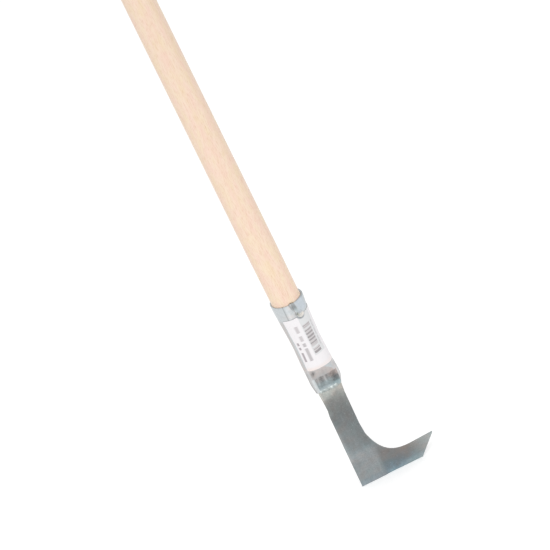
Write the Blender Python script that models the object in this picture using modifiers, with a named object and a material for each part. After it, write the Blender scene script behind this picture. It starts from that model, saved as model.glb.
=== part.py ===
# Patio knife: a long ash handle held in a rolled sheet socket, whose lower end is pressed
# flat and welded over the tang of an L-shaped blade with a ground hook.
#
# Metres. +Z runs up the handle, the hook points to +X and the ground face looks to -Y.
# The origin is the middle of the blade's bottom edge, straight under the handle's axis.
# A "drop" is a distance down from the socket's mouth.

import math

import bmesh
import bpy
import numpy as np

# Gap between pieces that touch
FIT = 0.0003

# Ash handle
HANDLE_LENGTH = 1.400
HANDLE_DIAMETER = 0.0280
HANDLE_TAPER_LENGTH = 0.055
HANDLE_MOUTH_DIAMETER = 0.0273
HANDLE_WAIST_DIAMETER = 0.0240
HANDLE_TIP_DIAMETER = 0.0230
HANDLE_TIP_CHAMFER = 0.0015
HANDLE_IN_SOCKET = 0.073
HANDLE_COLLAR_LENGTH = 0.0028
BUTT_FLAT_DIAMETER = 0.013
BUTT_DOME_HEIGHT = 0.009

# Rolled socket
SHEET = 0.0012
SOCKET_LENGTH = 0.1015
MOUTH_GAP = 0.00045
WAIST_DROP = 0.050
PRESS_LENGTH = 0.0315
PRESS_START_RADIUS = 0.0140
CREASE_LENGTH = 0.0202
CREASE_HALF_DEPTH = 0.0117
LIP_LENGTH = 0.0040
SHOULDER_LENGTH = 0.0120
SHOULDER_CURVE = 1.5
SHOULDER_LEFT = 0.01400
SHOULDER_RIGHT = 0.01485
CREASE_FLAT_LEFT = 0.0088
CREASE_FLAT_RIGHT = 0.0112
END_FLAT_LEFT = 0.0086
END_FLAT_RIGHT = 0.0101
END_CORNER_LEFT = 0.0023
END_CORNER_RIGHT = 0.0005
CORNER_SHARE = 0.55

# Seam of the socket, and its two edges turned in at the mouth
SEAM_GAP = 0.0005
SEAM_MOUTH_X = 0.0021
SEAM_END_X = 0.0005
FOLD_DEPTH = 0.0016
FOLD_WIDTH = 0.0029
FOLD_LENGTH = 0.010

# Countersunk screw beside the seam
SCREW_DROP = 0.013
SCREW_BEARING = math.radians(21)
SCREW_DIAMETER = 0.0040
SCREW_LENGTH = 0.022
SCREW_TIP_LENGTH = 0.005
SCREW_HEAD_DIAMETER = 0.0080
SCREW_HEAD_RIM = 0.0003
SCREW_HEAD_PROUD = 0.0009
RECESS_WIDTH = 0.0011
RECESS_SPAN = 0.0046
RECESS_DEPTH = 0.0014
RECESS_TURN = math.radians(20)

# Ground blade, with heights from its bottom edge
BLADE_LENGTH = 0.1075
BLADE_THICKNESS = 0.0030
BLADE_EDGE_BREAK = 0.00025
HEEL_X = -0.0123
HEEL_STEP_X = -0.0113
HEEL_STEP_HEIGHT = 0.0790
NECK_LEFT_X = -0.0104
NECK_STEP_HEIGHT = 0.0855
NECK_RIGHT_X = 0.0106
NECK_FLARE_HEIGHT = 0.0955
NECK_TOP_LEFT_X = -0.0112
NECK_TOP_RIGHT_X = 0.0114
SHANK_RIGHT_X = 0.0101
SHANK_RIGHT_HEIGHT = 0.0600
THROAT_START_X = 0.0109
THROAT_START_HEIGHT = 0.0475
THROAT_START_ANGLE = math.radians(14)
THROAT_START_REACH = 0.0268
THROAT_END_X = 0.0425
THROAT_END_HEIGHT = 0.0182
THROAT_END_REACH = 0.0138
HOOK_TIP_X = 0.0661
HOOK_TIP_HEIGHT = 0.0193
HOOK_BOTTOM_X = 0.0486
TANG_WIDTH = 0.0194
TANG_LENGTH = 0.022

# Hollow grind on the front of the hook
GRIND_START_X = 0.0120
GRIND_HEIGHT = 0.029
GRIND_EDGE_THICKNESS = 0.0022

# Weld beads
WELD_LENGTH = 0.0200
WELD_DIAMETER = 0.0026
WELD_RIPPLES = 8
WELD_RIPPLE_SHARE = 0.22

# Paper label
LABEL_TOP_DROP = 0.0155
LABEL_LENGTH = 0.0565
LABEL_LEFT_BEARING = math.radians(-49)
LABEL_RIGHT_BEARING = math.radians(150)
LABEL_GAP = 0.0002
LABEL_THICKNESS = 0.00015
LABEL_SCREW_MARGIN = 0.0006

# Facets
HANDLE_FACETS = 48
DOME_STEPS = 8
FITTED_STEPS = 8
SCREW_FACETS = 24
WHEEL_FACETS = 288
THROAT_STEPS = 24
FOLD_STEPS = 3
RIPPLE_STEPS = 3
LABEL_COLUMNS = 36

# Facets of each stretch of the socket's outline, from the seam round the back to the seam
FRONT_STEPS = 3
CORNER_STEPS = 5
SIDE_STEPS = 3
BACK_STEPS = 8
FRONT_BEARING = math.radians(42)
SIDE_BEARING = math.radians(78)

# Edges turning by more than this are drawn sharp; on the blade a flat face meets its grind at less
SHARP_ANGLE = math.radians(35)
BLADE_SHARP_ANGLE = math.radians(4)

# Heights that follow from the sizes above
MOUTH_HEIGHT = BLADE_LENGTH + SOCKET_LENGTH
HANDLE_END_HEIGHT = MOUTH_HEIGHT - HANDLE_IN_SOCKET
BUTT_HEIGHT = HANDLE_END_HEIGHT + HANDLE_LENGTH
PRESS_DROP = SOCKET_LENGTH - PRESS_LENGTH
CREASE_DROP = SOCKET_LENGTH - CREASE_LENGTH
SHOULDER_DROP = SOCKET_LENGTH - SHOULDER_LENGTH
LIP_DROP = SOCKET_LENGTH - LIP_LENGTH


def clear_scene():
    for obj in list(bpy.data.objects):
        bpy.data.objects.remove(obj, do_unlink=True)


def new_collection(name):
    collection = bpy.data.collections.new(name)
    bpy.context.scene.collection.children.link(collection)
    return collection


def new_material(name, color, roughness, metallic):
    material = bpy.data.materials.new(name)
    material.use_nodes = True
    shader = material.node_tree.nodes["Principled BSDF"]
    shader.inputs["Base Color"].default_value = (*color, 1)
    shader.inputs["Roughness"].default_value = roughness
    shader.inputs["Metallic"].default_value = metallic
    material.diffuse_color = (*color, 1)
    return material


def new_object(name, data, collection, material=None):
    obj = bpy.data.objects.new(name, data)
    collection.objects.link(obj)
    if material:
        data.materials.append(material)
    return obj


def as_cutter(obj):
    obj.hide_render = True
    obj.display_type = "WIRE"
    return obj


def cut(obj, cutter):
    modifier = obj.modifiers.new("cut_" + cutter.name, "BOOLEAN")
    modifier.operation = "DIFFERENCE"
    modifier.solver = "EXACT"
    modifier.object = cutter


def turned(name, profile, facets, collection, material=None):
    """A profile of (radius, height) points, top to bottom, turned about the object's Z axis."""
    mesh = bpy.data.meshes.new(name)
    points = [(radius, 0, height) for radius, height in profile]
    mesh.from_pydata(points, [(i, i + 1) for i in range(len(points) - 1)], [])
    obj = new_object(name, mesh, collection, material)
    screw = obj.modifiers.new("turn", "SCREW")
    screw.axis = "Z"
    screw.steps = screw.render_steps = facets
    screw.use_merge_vertices = True
    screw.merge_threshold = 0.00001
    screw.use_smooth_shade = True
    return obj


def grid_faces(rows, columns, start, flip):
    row, column = np.meshgrid(np.arange(rows - 1), np.arange(columns - 1), indexing="ij")
    corner = (start + row * columns + column).ravel()
    faces = np.stack([corner, corner + 1, corner + columns + 1, corner + columns], axis=1)
    return faces[:, ::-1] if flip else faces


def solid_between(name, outer, inner, collection, material=None):
    """A closed wall between two grids of points, both indexed [row, column] from the top down."""
    rows, columns = outer.shape[:2]
    count = rows * columns
    index = np.arange(count).reshape(rows, columns)
    border = np.concatenate([index[0, :-1], index[:-1, -1], index[-1, :0:-1], index[:0:-1, 0]])
    after = np.roll(border, -1)
    rim = np.stack([after, border, border + count, after + count], axis=1)
    faces = np.concatenate([grid_faces(rows, columns, 0, True), grid_faces(rows, columns, count, False), rim])
    mesh = bpy.data.meshes.new(name)
    mesh.from_pydata(np.concatenate([outer.reshape(-1, 3), inner.reshape(-1, 3)]).tolist(), [], faces.tolist())
    body = bmesh.new()
    body.from_mesh(mesh)
    bmesh.ops.recalc_face_normals(body, faces=body.faces)
    body.to_mesh(mesh)
    body.free()
    return new_object(name, mesh, collection, material)


def mesh_from_curve(obj, collection, material):
    """The curve object made a mesh with its caps welded, in the same place and under the same name."""
    graph = bpy.context.evaluated_depsgraph_get()
    mesh = bpy.data.meshes.new_from_object(obj.evaluated_get(graph))
    body = bmesh.new()
    body.from_mesh(mesh)
    bmesh.ops.remove_doubles(body, verts=body.verts, dist=0.000001)
    bmesh.ops.recalc_face_normals(body, faces=body.faces)
    body.to_mesh(mesh)
    body.free()
    name, place = obj.name, obj.matrix_world.copy()
    bpy.data.objects.remove(obj, do_unlink=True)
    mesh.materials.clear()
    made = new_object(name, mesh, collection, material)
    made.matrix_world = place
    return made


def smooth(obj, angle):
    """Replaces the object's mesh by its modelled result, shaded smooth but for edges over the angle."""
    graph = bpy.context.evaluated_depsgraph_get()
    mesh = bpy.data.meshes.new_from_object(obj.evaluated_get(graph))
    obj.modifiers.clear()
    obj.data = mesh
    mesh.shade_smooth()
    mesh.set_sharp_from_angle(angle=angle)


def eased(share):
    return share * share * (3 - 2 * share)


def flared(share):
    return share**SHOULDER_CURVE


def between(drop, start, end, low, high, ease=eased):
    """low at start, high at end, and held outside them."""
    return low + (high - low) * ease(np.clip((drop - start) / (end - start), 0, 1))


def bore_radius(drop):
    """Inside radius of the rolled part of the socket: mouth, waist, then out to where the press starts."""
    mouth = HANDLE_MOUTH_DIAMETER / 2 + MOUTH_GAP
    waist = HANDLE_WAIST_DIAMETER / 2 + FIT
    press = PRESS_START_RADIUS - SHEET
    return between(drop, 0, WAIST_DROP, mouth, waist) + between(drop, WAIST_DROP, PRESS_DROP, 0, press - waist)


def pressed_width(drop, shoulder, end):
    """Inside half-width of the pressed part on one side: out to the shoulder, then in to the end."""
    out = between(drop, PRESS_DROP, SHOULDER_DROP, bore_radius(PRESS_DROP), shoulder - SHEET)
    return out + between(drop, SHOULDER_DROP, SOCKET_LENGTH, 0, end - shoulder + SHEET, ease=flared)


def pressed_depth(drop):
    """Inside half-depth of the pressed part: a slope to the crease, a steeper one, and a lip flat on the blade."""
    straight = np.positive
    crease = CREASE_HALF_DEPTH - SHEET
    lip = BLADE_THICKNESS / 2 + FIT
    upper = between(drop, PRESS_DROP, CREASE_DROP, bore_radius(PRESS_DROP), crease, ease=straight)
    return upper + between(drop, CREASE_DROP, LIP_DROP, 0, lip - crease, ease=straight)


def seam_x(drop):
    return between(drop, WAIST_DROP, SOCKET_LENGTH, SEAM_MOUTH_X, SEAM_END_X)


def fold_offsets():
    """Distances from the seam, of which the last is where the turned-in edge ends."""
    return np.linspace(SEAM_GAP / 2, FOLD_WIDTH, FOLD_STEPS + 1)


def front_stretch(first, last):
    """Positions along the front from the seam to the corner: the fold's own, then even steps."""
    near = first + np.sign(last - first) * fold_offsets()
    return np.concatenate([near, np.linspace(near[-1], last, FRONT_STEPS + 1)[1:]])


def round_bearings(radius, drop):
    """Bearings of the outline's points on the rolled part, from the front towards +X."""
    seam = math.asin(seam_x(drop) / radius)
    right = seam + front_stretch(0, (FRONT_BEARING - seam) * radius) / radius
    left = seam + front_stretch(0, -(FRONT_BEARING + seam) * radius) / radius
    turn = math.pi
    half = np.concatenate(
        [
            np.linspace(FRONT_BEARING, SIDE_BEARING, CORNER_STEPS + 1)[1:],
            np.linspace(SIDE_BEARING, turn - SIDE_BEARING, SIDE_STEPS + 1)[1:],
            np.linspace(turn - SIDE_BEARING, turn - FRONT_BEARING, CORNER_STEPS + 1)[1:],
        ]
    )
    back = np.linspace(turn - FRONT_BEARING, turn + FRONT_BEARING, BACK_STEPS + 1)[1:-1]
    return np.concatenate([right, half, back, 2 * turn - half[::-1], 2 * turn + left[::-1]])


def pressed_points(drop, out):
    """The outline's points on the pressed part: a box with rounded corners, out from its inside by a distance."""
    flat_right = between(drop, CREASE_DROP, SOCKET_LENGTH, CREASE_FLAT_RIGHT, END_FLAT_RIGHT)
    flat_left = between(drop, CREASE_DROP, SOCKET_LENGTH, CREASE_FLAT_LEFT, END_FLAT_LEFT)
    right = pressed_width(drop, SHOULDER_RIGHT, END_FLAT_RIGHT + END_CORNER_RIGHT)
    left = pressed_width(drop, SHOULDER_LEFT, END_FLAT_LEFT + END_CORNER_LEFT)
    depth = pressed_depth(drop)
    tall = CORNER_SHARE * depth
    flat = depth - tall
    angle = np.linspace(0, math.pi / 2, CORNER_STEPS + 1)[1:]
    sine, cosine = np.sin(angle), np.cos(angle)
    side = np.linspace(-flat, flat, SIDE_STEPS + 1)[1:]

    def half(width, corner):
        wide = width - corner
        x = [corner + (wide + out) * sine, np.full(SIDE_STEPS, width + out), corner + (wide + out) * cosine]
        y = [-flat - (tall + out) * cosine, side, flat + (tall + out) * sine]
        return np.concatenate(x), np.concatenate(y)

    seam = seam_x(drop)
    front_right = front_stretch(seam, flat_right)
    front_left = front_stretch(seam, -flat_left)
    right_x, right_y = half(right, flat_right)
    left_x, left_y = half(left, flat_left)
    back_x = np.linspace(flat_right, -flat_left, BACK_STEPS + 1)[1:-1]
    x = np.concatenate([front_right, right_x, back_x, -left_x[::-1], front_left[::-1]])
    y = np.concatenate(
        [
            np.full(len(front_right), -depth - out),
            right_y,
            np.full(len(back_x), depth + out),
            left_y[::-1],
            np.full(len(front_left), -depth - out),
        ]
    )
    return np.stack([x, y], axis=1)


def fold(drop):
    """How far each point of the outline is turned in beside the seam."""
    share = 1 - (fold_offsets() - SEAM_GAP / 2) / (FOLD_WIDTH - SEAM_GAP / 2)
    return FOLD_DEPTH * max(0, 1 - drop / FOLD_LENGTH) * share


def socket_ring(drop, out, folded=True):
    """The socket's outline at a drop, as points from the seam's right edge round the back to its left."""
    radius = bore_radius(min(drop, PRESS_DROP))
    bearing = round_bearings(radius + out, drop)
    rolled = (radius + out) * np.stack([np.sin(bearing), -np.cos(bearing)], axis=1)
    pressed = pressed_points(max(drop, PRESS_DROP), out)
    share = between(drop, PRESS_DROP, CREASE_DROP, 0, 1)
    ring = (1 - share) * rolled + share * pressed
    if folded:
        edge = fold(drop)
        ring[: len(edge), 1] += edge
        ring[-len(edge) :, 1] += edge[::-1]
    return np.column_stack([ring, np.full(len(ring), MOUTH_HEIGHT - drop)])


def socket_drops():
    stretches = [
        (0, FOLD_LENGTH, 6),
        (FOLD_LENGTH, WAIST_DROP, 6),
        (WAIST_DROP, PRESS_DROP, 3),
        (PRESS_DROP, CREASE_DROP, 4),
        (CREASE_DROP, SHOULDER_DROP, 2),
        (SHOULDER_DROP, LIP_DROP, 3),
        (LIP_DROP, SOCKET_LENGTH, 2),
    ]
    rows = [np.linspace(start, end, steps + 1)[:-1] for start, end, steps in stretches]
    return np.concatenate([*rows, [SOCKET_LENGTH]])


def screw_profile(room):
    """The screw's profile from the head's top down, grown by the room round it."""
    head = SCREW_HEAD_DIAMETER / 2 + room
    shank = SCREW_DIAMETER / 2 + room
    top = SCREW_HEAD_PROUD + (SCREW_HEAD_PROUD + SCREW_HEAD_DIAMETER if room else 0)
    rim = SCREW_HEAD_PROUD - SCREW_HEAD_RIM
    neck = rim - (SCREW_HEAD_DIAMETER - SCREW_DIAMETER) / 2
    tip = SCREW_HEAD_PROUD - SCREW_LENGTH - room
    return [(0, top), (head, top), (head, rim), (shank, neck), (shank, tip + SCREW_TIP_LENGTH), (0, tip)]


def screw_frame(collection):
    """An empty on the socket's skin where the screw goes in, with its Z axis out along the screw."""
    radius = bore_radius(SCREW_DROP) + SHEET
    frame = bpy.data.objects.new("screw_place", None)
    frame.empty_display_size = SCREW_HEAD_DIAMETER
    frame.location = (
        radius * math.sin(SCREW_BEARING),
        -radius * math.cos(SCREW_BEARING),
        MOUTH_HEIGHT - SCREW_DROP,
    )
    frame.rotation_euler = (math.radians(90), 0, SCREW_BEARING)
    collection.objects.link(frame)
    return frame


def make_socket_screw(parts, cutters, frame, material):
    screw = turned("socket_screw", screw_profile(0), SCREW_FACETS, parts, material)
    screw.parent = frame
    for turn in range(2):
        mesh = bpy.data.meshes.new(f"recess_{turn}")
        body = bmesh.new()
        bmesh.ops.create_cube(body, size=1)
        bmesh.ops.scale(body, vec=(RECESS_SPAN, RECESS_WIDTH, 2 * RECESS_DEPTH), verts=body.verts)
        body.to_mesh(mesh)
        body.free()
        slot = as_cutter(new_object(mesh.name, mesh, cutters))
        slot.parent = frame
        slot.location = (0, 0, SCREW_HEAD_PROUD)
        slot.rotation_euler = (0, 0, RECESS_TURN + turn * math.pi / 2)
        cut(screw, slot)
    return screw


def make_screw_hole(cutters, frame):
    hole = as_cutter(turned("screw_hole", screw_profile(FIT), SCREW_FACETS, cutters))
    hole.parent = frame
    return hole


def make_socket(parts, hole, material):
    drops = socket_drops()
    outer = np.stack([socket_ring(drop, SHEET) for drop in drops])
    inner = np.stack([socket_ring(drop, 0) for drop in drops])
    socket = solid_between("socket", outer, inner, parts, material)
    cut(socket, hole)
    return socket


def make_fold_dent(cutters):
    """The room that the socket's turned-in edges press into the wood."""
    drops = np.linspace(-FIT, FOLD_LENGTH, 7)
    count = len(fold_offsets())
    clear_of_wood = HANDLE_DIAMETER / 4
    outer, inner = [], []
    for drop in drops:
        ring = socket_ring(max(drop, 0), 0)
        dent = np.concatenate([ring[-count:], ring[:count]])
        dent[:, 2] = MOUTH_HEIGHT - drop
        reach = np.hypot(dent[:, 0], dent[:, 1])
        inward = dent[:, :2] / reach[:, None]
        near = dent.copy()
        near[:, :2] -= FIT * inward
        far = dent.copy()
        far[:, :2] += clear_of_wood * inward
        inner.append(near)
        outer.append(far)
    return as_cutter(solid_between("fold_dent", np.stack(outer), np.stack(inner), cutters))


def handle_profile():
    """From the domed butt down to the tip that the socket hides."""
    radius = HANDLE_DIAMETER / 2
    flat = BUTT_FLAT_DIAMETER / 2
    angle = np.linspace(0, math.pi / 2, DOME_STEPS + 1)
    across = flat + (radius - flat) * np.sin(angle)
    down = BUTT_DOME_HEIGHT * (1 - np.cos(angle))
    dome = list(zip(across, BUTT_HEIGHT - down))
    mouth = HANDLE_MOUTH_DIAMETER / 2
    collar = mouth + (radius - mouth) * HANDLE_COLLAR_LENGTH / HANDLE_TAPER_LENGTH
    taper = [
        (radius, MOUTH_HEIGHT + HANDLE_TAPER_LENGTH),
        (collar, MOUTH_HEIGHT + HANDLE_COLLAR_LENGTH),
        (mouth, MOUTH_HEIGHT),
    ]
    fitted = []
    for drop in np.linspace(0, WAIST_DROP, FITTED_STEPS + 1)[1:]:
        gap = MOUTH_GAP + (FIT - MOUTH_GAP) * drop / WAIST_DROP
        fitted.append((bore_radius(drop) - gap, MOUTH_HEIGHT - drop))
    tip = HANDLE_TIP_DIAMETER / 2
    end = [
        (tip, HANDLE_END_HEIGHT + HANDLE_TIP_CHAMFER),
        (tip - HANDLE_TIP_CHAMFER, HANDLE_END_HEIGHT),
        (0, HANDLE_END_HEIGHT),
    ]
    return [(0, BUTT_HEIGHT), *dome, *taper, *fitted, *end]


def make_handle(parts, hole, dent, material):
    handle = turned("handle", handle_profile(), HANDLE_FACETS, parts, material)
    cut(handle, dent)
    cut(handle, hole)
    return handle


def add_outline_point(spline, index, x, height, before=None, after=None):
    """A corner of the blade's outline, or with handles an end of its curved throat."""
    point = spline.bezier_points[index]
    point.co = (x, height, 0)
    point.handle_left_type = point.handle_right_type = "VECTOR"
    if before:
        point.handle_left_type = "FREE"
        point.handle_left = (*before, 0)
    if after:
        point.handle_right_type = "FREE"
        point.handle_right = (*after, 0)


def make_blade(parts, cutters, material):
    neck = BLADE_LENGTH - FIT
    tang = TANG_WIDTH / 2
    tang_top = BLADE_LENGTH + TANG_LENGTH
    throat_end_handle = (
        THROAT_END_X - THROAT_END_REACH,
        THROAT_END_HEIGHT,
    )
    throat_start_handle = (
        THROAT_START_X + THROAT_START_REACH * math.sin(THROAT_START_ANGLE),
        THROAT_START_HEIGHT - THROAT_START_REACH * math.cos(THROAT_START_ANGLE),
    )
    corners = [
        (HEEL_X, 0),
        (HOOK_BOTTOM_X, 0),
        (HOOK_TIP_X, HOOK_TIP_HEIGHT),
        (THROAT_END_X, THROAT_END_HEIGHT, None, throat_end_handle),
        (THROAT_START_X, THROAT_START_HEIGHT, throat_start_handle, None),
        (SHANK_RIGHT_X, SHANK_RIGHT_HEIGHT),
        (NECK_RIGHT_X, NECK_FLARE_HEIGHT),
        (NECK_TOP_RIGHT_X, neck),
        (tang, neck),
        (tang, tang_top),
        (-tang, tang_top),
        (-tang, neck),
        (NECK_TOP_LEFT_X, neck),
        (NECK_LEFT_X, NECK_FLARE_HEIGHT),
        (NECK_LEFT_X, NECK_STEP_HEIGHT),
        (HEEL_STEP_X, HEEL_STEP_HEIGHT),
    ]
    curve = bpy.data.curves.new("blade", "CURVE")
    curve.dimensions = "2D"
    curve.fill_mode = "BOTH"
    curve.resolution_u = THROAT_STEPS
    curve.extrude = BLADE_THICKNESS / 2
    spline = curve.splines.new("BEZIER")
    spline.bezier_points.add(len(corners) - 1)
    spline.use_cyclic_u = True
    for index, corner in enumerate(corners):
        add_outline_point(spline, index, *corner)
    outline = new_object("blade", curve, parts)
    outline.rotation_euler = (math.radians(90), 0, 0)
    bpy.context.view_layer.update()
    blade = mesh_from_curve(outline, parts, material)
    edge = blade.modifiers.new("edge_break", "BEVEL")
    edge.width = BLADE_EDGE_BREAK
    edge.segments = 1
    edge.limit_method = "ANGLE"
    edge.angle_limit = math.radians(50)
    cut(blade, make_grinding_wheel(cutters))
    return blade


def make_grinding_wheel(cutters):
    """The wheel that hollows the hook's front, deepest at the bottom edge and out of the face above."""
    depth = BLADE_THICKNESS - GRIND_EDGE_THICKNESS
    radius = (GRIND_HEIGHT**2 + depth**2) / (2 * depth)
    width = 2 * (HOOK_TIP_X - GRIND_START_X)
    mesh = bpy.data.meshes.new("grinding_wheel")
    body = bmesh.new()
    bmesh.ops.create_cone(
        body, cap_ends=True, segments=WHEEL_FACETS, radius1=radius, radius2=radius, depth=width
    )
    body.to_mesh(mesh)
    body.free()
    wheel = as_cutter(new_object("grinding_wheel", mesh, cutters))
    wheel.rotation_euler = (0, math.radians(90), 0)
    wheel.location = (GRIND_START_X + width / 2, BLADE_THICKNESS / 2 - GRIND_EDGE_THICKNESS - radius, 0)
    return wheel


def make_weld(parts, name, side, material):
    """A rippled bead under the socket's end, on the blade's front (side -1) or back (side 1)."""
    steps = RIPPLE_STEPS * WELD_RIPPLES + 1
    along = np.linspace(-WELD_LENGTH / 2, WELD_LENGTH / 2, steps)
    ripple = np.abs(np.sin(np.linspace(0, math.pi * WELD_RIPPLES, steps) + side))
    radius = WELD_DIAMETER / 2
    curve = bpy.data.curves.new(name, "CURVE")
    curve.dimensions = "3D"
    curve.bevel_depth = radius
    curve.bevel_resolution = 2
    curve.use_fill_caps = True
    spline = curve.splines.new("POLY")
    spline.points.add(steps - 1)
    y = side * (BLADE_THICKNESS / 2 + FIT + radius)
    height = BLADE_LENGTH - FIT - radius
    for point, x, swell in zip(spline.points, along, ripple):
        point.co = (x, y, height, 1)
        point.radius = 1 - WELD_RIPPLE_SHARE * (1 - swell)
    return mesh_from_curve(new_object(name, curve, parts), parts, material)


def label_grid():
    """The label's points over the socket, left to right and top row first, with rows where the socket has them."""
    bearings = np.linspace(LABEL_LEFT_BEARING, LABEL_RIGHT_BEARING, LABEL_COLUMNS)
    bottom_drop = LABEL_TOP_DROP + LABEL_LENGTH
    under = [drop for drop in socket_drops() if LABEL_TOP_DROP < drop < bottom_drop]
    rows = []
    for drop in (LABEL_TOP_DROP, *under, bottom_drop):
        ring = socket_ring(drop, SHEET + LABEL_GAP, folded=False)
        bearing = np.unwrap(np.arctan2(ring[:, 0], -ring[:, 1]))
        turns = np.concatenate([bearing - 2 * math.pi, bearing])
        x = np.interp(bearings, turns, np.tile(ring[:, 0], 2))
        y = np.interp(bearings, turns, np.tile(ring[:, 1], 2))
        rows.append(np.column_stack([x, y, np.full(len(x), MOUTH_HEIGHT - drop)]))
    return np.stack(rows)


def make_label(parts, cutters, frame, material):
    grid = label_grid()
    rows, columns = grid.shape[:2]
    mesh = bpy.data.meshes.new("label")
    mesh.from_pydata(grid.reshape(-1, 3).tolist(), [], grid_faces(rows, columns, 0, True).tolist())
    label = new_object("label", mesh, parts, material)
    paper = label.modifiers.new("paper", "SOLIDIFY")
    paper.thickness = LABEL_THICKNESS
    paper.offset = 1
    mesh = bpy.data.meshes.new("label_notch")
    body = bmesh.new()
    radius = SCREW_HEAD_DIAMETER / 2 + LABEL_SCREW_MARGIN
    bmesh.ops.create_cone(
        body, cap_ends=True, segments=SCREW_FACETS, radius1=radius, radius2=radius, depth=SCREW_HEAD_DIAMETER
    )
    body.to_mesh(mesh)
    body.free()
    notch = as_cutter(new_object("label_notch", mesh, cutters))
    notch.parent = frame
    cut(label, notch)
    return label


def main():
    clear_scene()
    parts = new_collection("patio_knife")
    cutters = new_collection("cutters")
    ash = new_material("ash_wood", (0.80, 0.60, 0.42), 0.55, 0)
    zinc = new_material("zinc_plated_sheet", (0.52, 0.55, 0.57), 0.38, 1)
    steel = new_material("ground_spring_steel", (0.33, 0.34, 0.35), 0.35, 1)
    bead = new_material("weld_metal", (0.55, 0.56, 0.56), 0.45, 1)
    yellow = new_material("yellow_zinc_screw", (0.62, 0.50, 0.30), 0.35, 1)
    paper = new_material("label_paper", (0.90, 0.89, 0.90), 0.6, 0)

    frame = screw_frame(parts)
    hole = make_screw_hole(cutters, frame)
    bpy.context.view_layer.update()
    pieces = [
        make_handle(parts, hole, make_fold_dent(cutters), ash),
        make_socket(parts, hole, zinc),
        make_blade(parts, cutters, steel),
        make_weld(parts, "weld_front", -1, bead),
        make_weld(parts, "weld_back", 1, bead),
        make_socket_screw(parts, cutters, frame, yellow),
        make_label(parts, cutters, frame, paper),
    ]
    bpy.context.view_layer.update()
    for piece in pieces:
        smooth(piece, BLADE_SHARP_ANGLE if piece.name == "blade" else SHARP_ANGLE)


main()
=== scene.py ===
import math
from functools import partial

import bpy
import numpy as np
from mathutils import Matrix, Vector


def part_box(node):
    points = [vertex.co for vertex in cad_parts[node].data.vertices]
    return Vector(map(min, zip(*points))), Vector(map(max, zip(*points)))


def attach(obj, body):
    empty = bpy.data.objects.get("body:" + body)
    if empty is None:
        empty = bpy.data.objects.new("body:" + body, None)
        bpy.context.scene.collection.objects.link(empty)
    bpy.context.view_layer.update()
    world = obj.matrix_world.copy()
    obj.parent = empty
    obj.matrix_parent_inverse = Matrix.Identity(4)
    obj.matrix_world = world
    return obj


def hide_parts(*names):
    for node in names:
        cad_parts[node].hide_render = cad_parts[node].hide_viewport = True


# Patio knife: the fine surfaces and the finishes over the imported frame, and the product picture's light.
# Shapes are worked out in millimetres, and makePiece turns them to metres.
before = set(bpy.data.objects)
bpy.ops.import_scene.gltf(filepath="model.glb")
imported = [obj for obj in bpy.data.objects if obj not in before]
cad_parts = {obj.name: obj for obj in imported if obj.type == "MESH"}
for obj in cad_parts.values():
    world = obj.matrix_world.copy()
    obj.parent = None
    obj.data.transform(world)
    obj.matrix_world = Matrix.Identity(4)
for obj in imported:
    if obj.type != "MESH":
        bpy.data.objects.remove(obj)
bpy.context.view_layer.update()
print("frame loaded:", ", ".join(sorted(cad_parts)))

mm = 0.001
socketFoot, mouthHeight = [corner.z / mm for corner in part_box("socket")]
handleTip, handleButt = [corner.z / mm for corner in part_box("handle")]
socketLength = mouthHeight - socketFoot


# Shared shapes and tools

def linearColor(text):
    # "#rrggbb" in sRGB, turned to the linear values that shaders take
    value = np.array([int(text[i:i + 2], 16) for i in (1, 3, 5)]) / 255
    linear = np.where(value <= 0.04045, value / 12.92, ((value + 0.055) / 1.055) ** 2.4)
    return (*linear.tolist(), 1)


def eased(share):
    # 3 s squared less 2 s cubed: level at both ends
    return share * share * (3 - 2 * share)


def between(value, start, end, low=0, high=1, ease=eased):
    # low at start, high at end, held outside them
    return low + (high - low) * ease(np.clip((value - start) / (end - start), 0, 1))


def window(value, low, high, soft):
    # 1 between low and high, eased to 0 at both ends
    return between(value, low - soft, low + soft) * between(value, high - soft, high + soft, 1, 0)


def bump(distance, width):
    # exp of minus the distance over the width, squared
    return np.exp(-(distance / width) ** 2)


def blot(x, down, atX, atDown, wide, tall, degrees=0):
    # an oval spot, 1 at its middle: the product of two bumps, turned
    a, b = x - atX, down - atDown
    sine, cosine = math.sin(math.radians(degrees)), math.cos(math.radians(degrees))
    return bump(a * cosine - b * sine, wide) * bump(a * sine + b * cosine, tall)


def waviness(seed, wavelength, *coordinates, waves=16):
    # a sum of sine waves in random directions, mostly between -1 and 1
    random = np.random.default_rng(seed)
    total = 0
    for _ in range(waves):
        direction = random.normal(size=len(coordinates))
        direction *= random.uniform(0.6, 1.5) / (np.linalg.norm(direction) * wavelength)
        phase = sum(part * value for part, value in zip(direction, coordinates))
        total = total + np.sin(2 * math.pi * phase + random.uniform(0, 2 * math.pi))
    return total / math.sqrt(2 * waves)


def gridNormals(points):
    # the cross product of the grid's two slopes, of length 1
    normal = np.cross(np.gradient(points, axis=1), np.gradient(points, axis=0))
    return normal / np.maximum(np.linalg.norm(normal, axis=2, keepdims=True), 1e-6)


def gridQuads(rows, columns, closeRows=False, closeColumns=False):
    # one quad between each point, the next in its row and the two under them
    row = np.arange(rows if closeRows else rows - 1)[:, None]
    column = np.arange(columns if closeColumns else columns - 1)[None, :]
    below, beside = (row + 1) % rows, (column + 1) % columns
    around = ((row, column), (row, beside), (below, beside), (below, column))
    corners = np.broadcast_arrays(*[down * columns + across for down, across in around])
    return np.stack(corners, axis=-1).reshape(-1, 4)


def addObject(name, data):
    thing = bpy.data.objects.new(name, data)
    bpy.context.scene.collection.objects.link(thing)
    return thing


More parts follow.
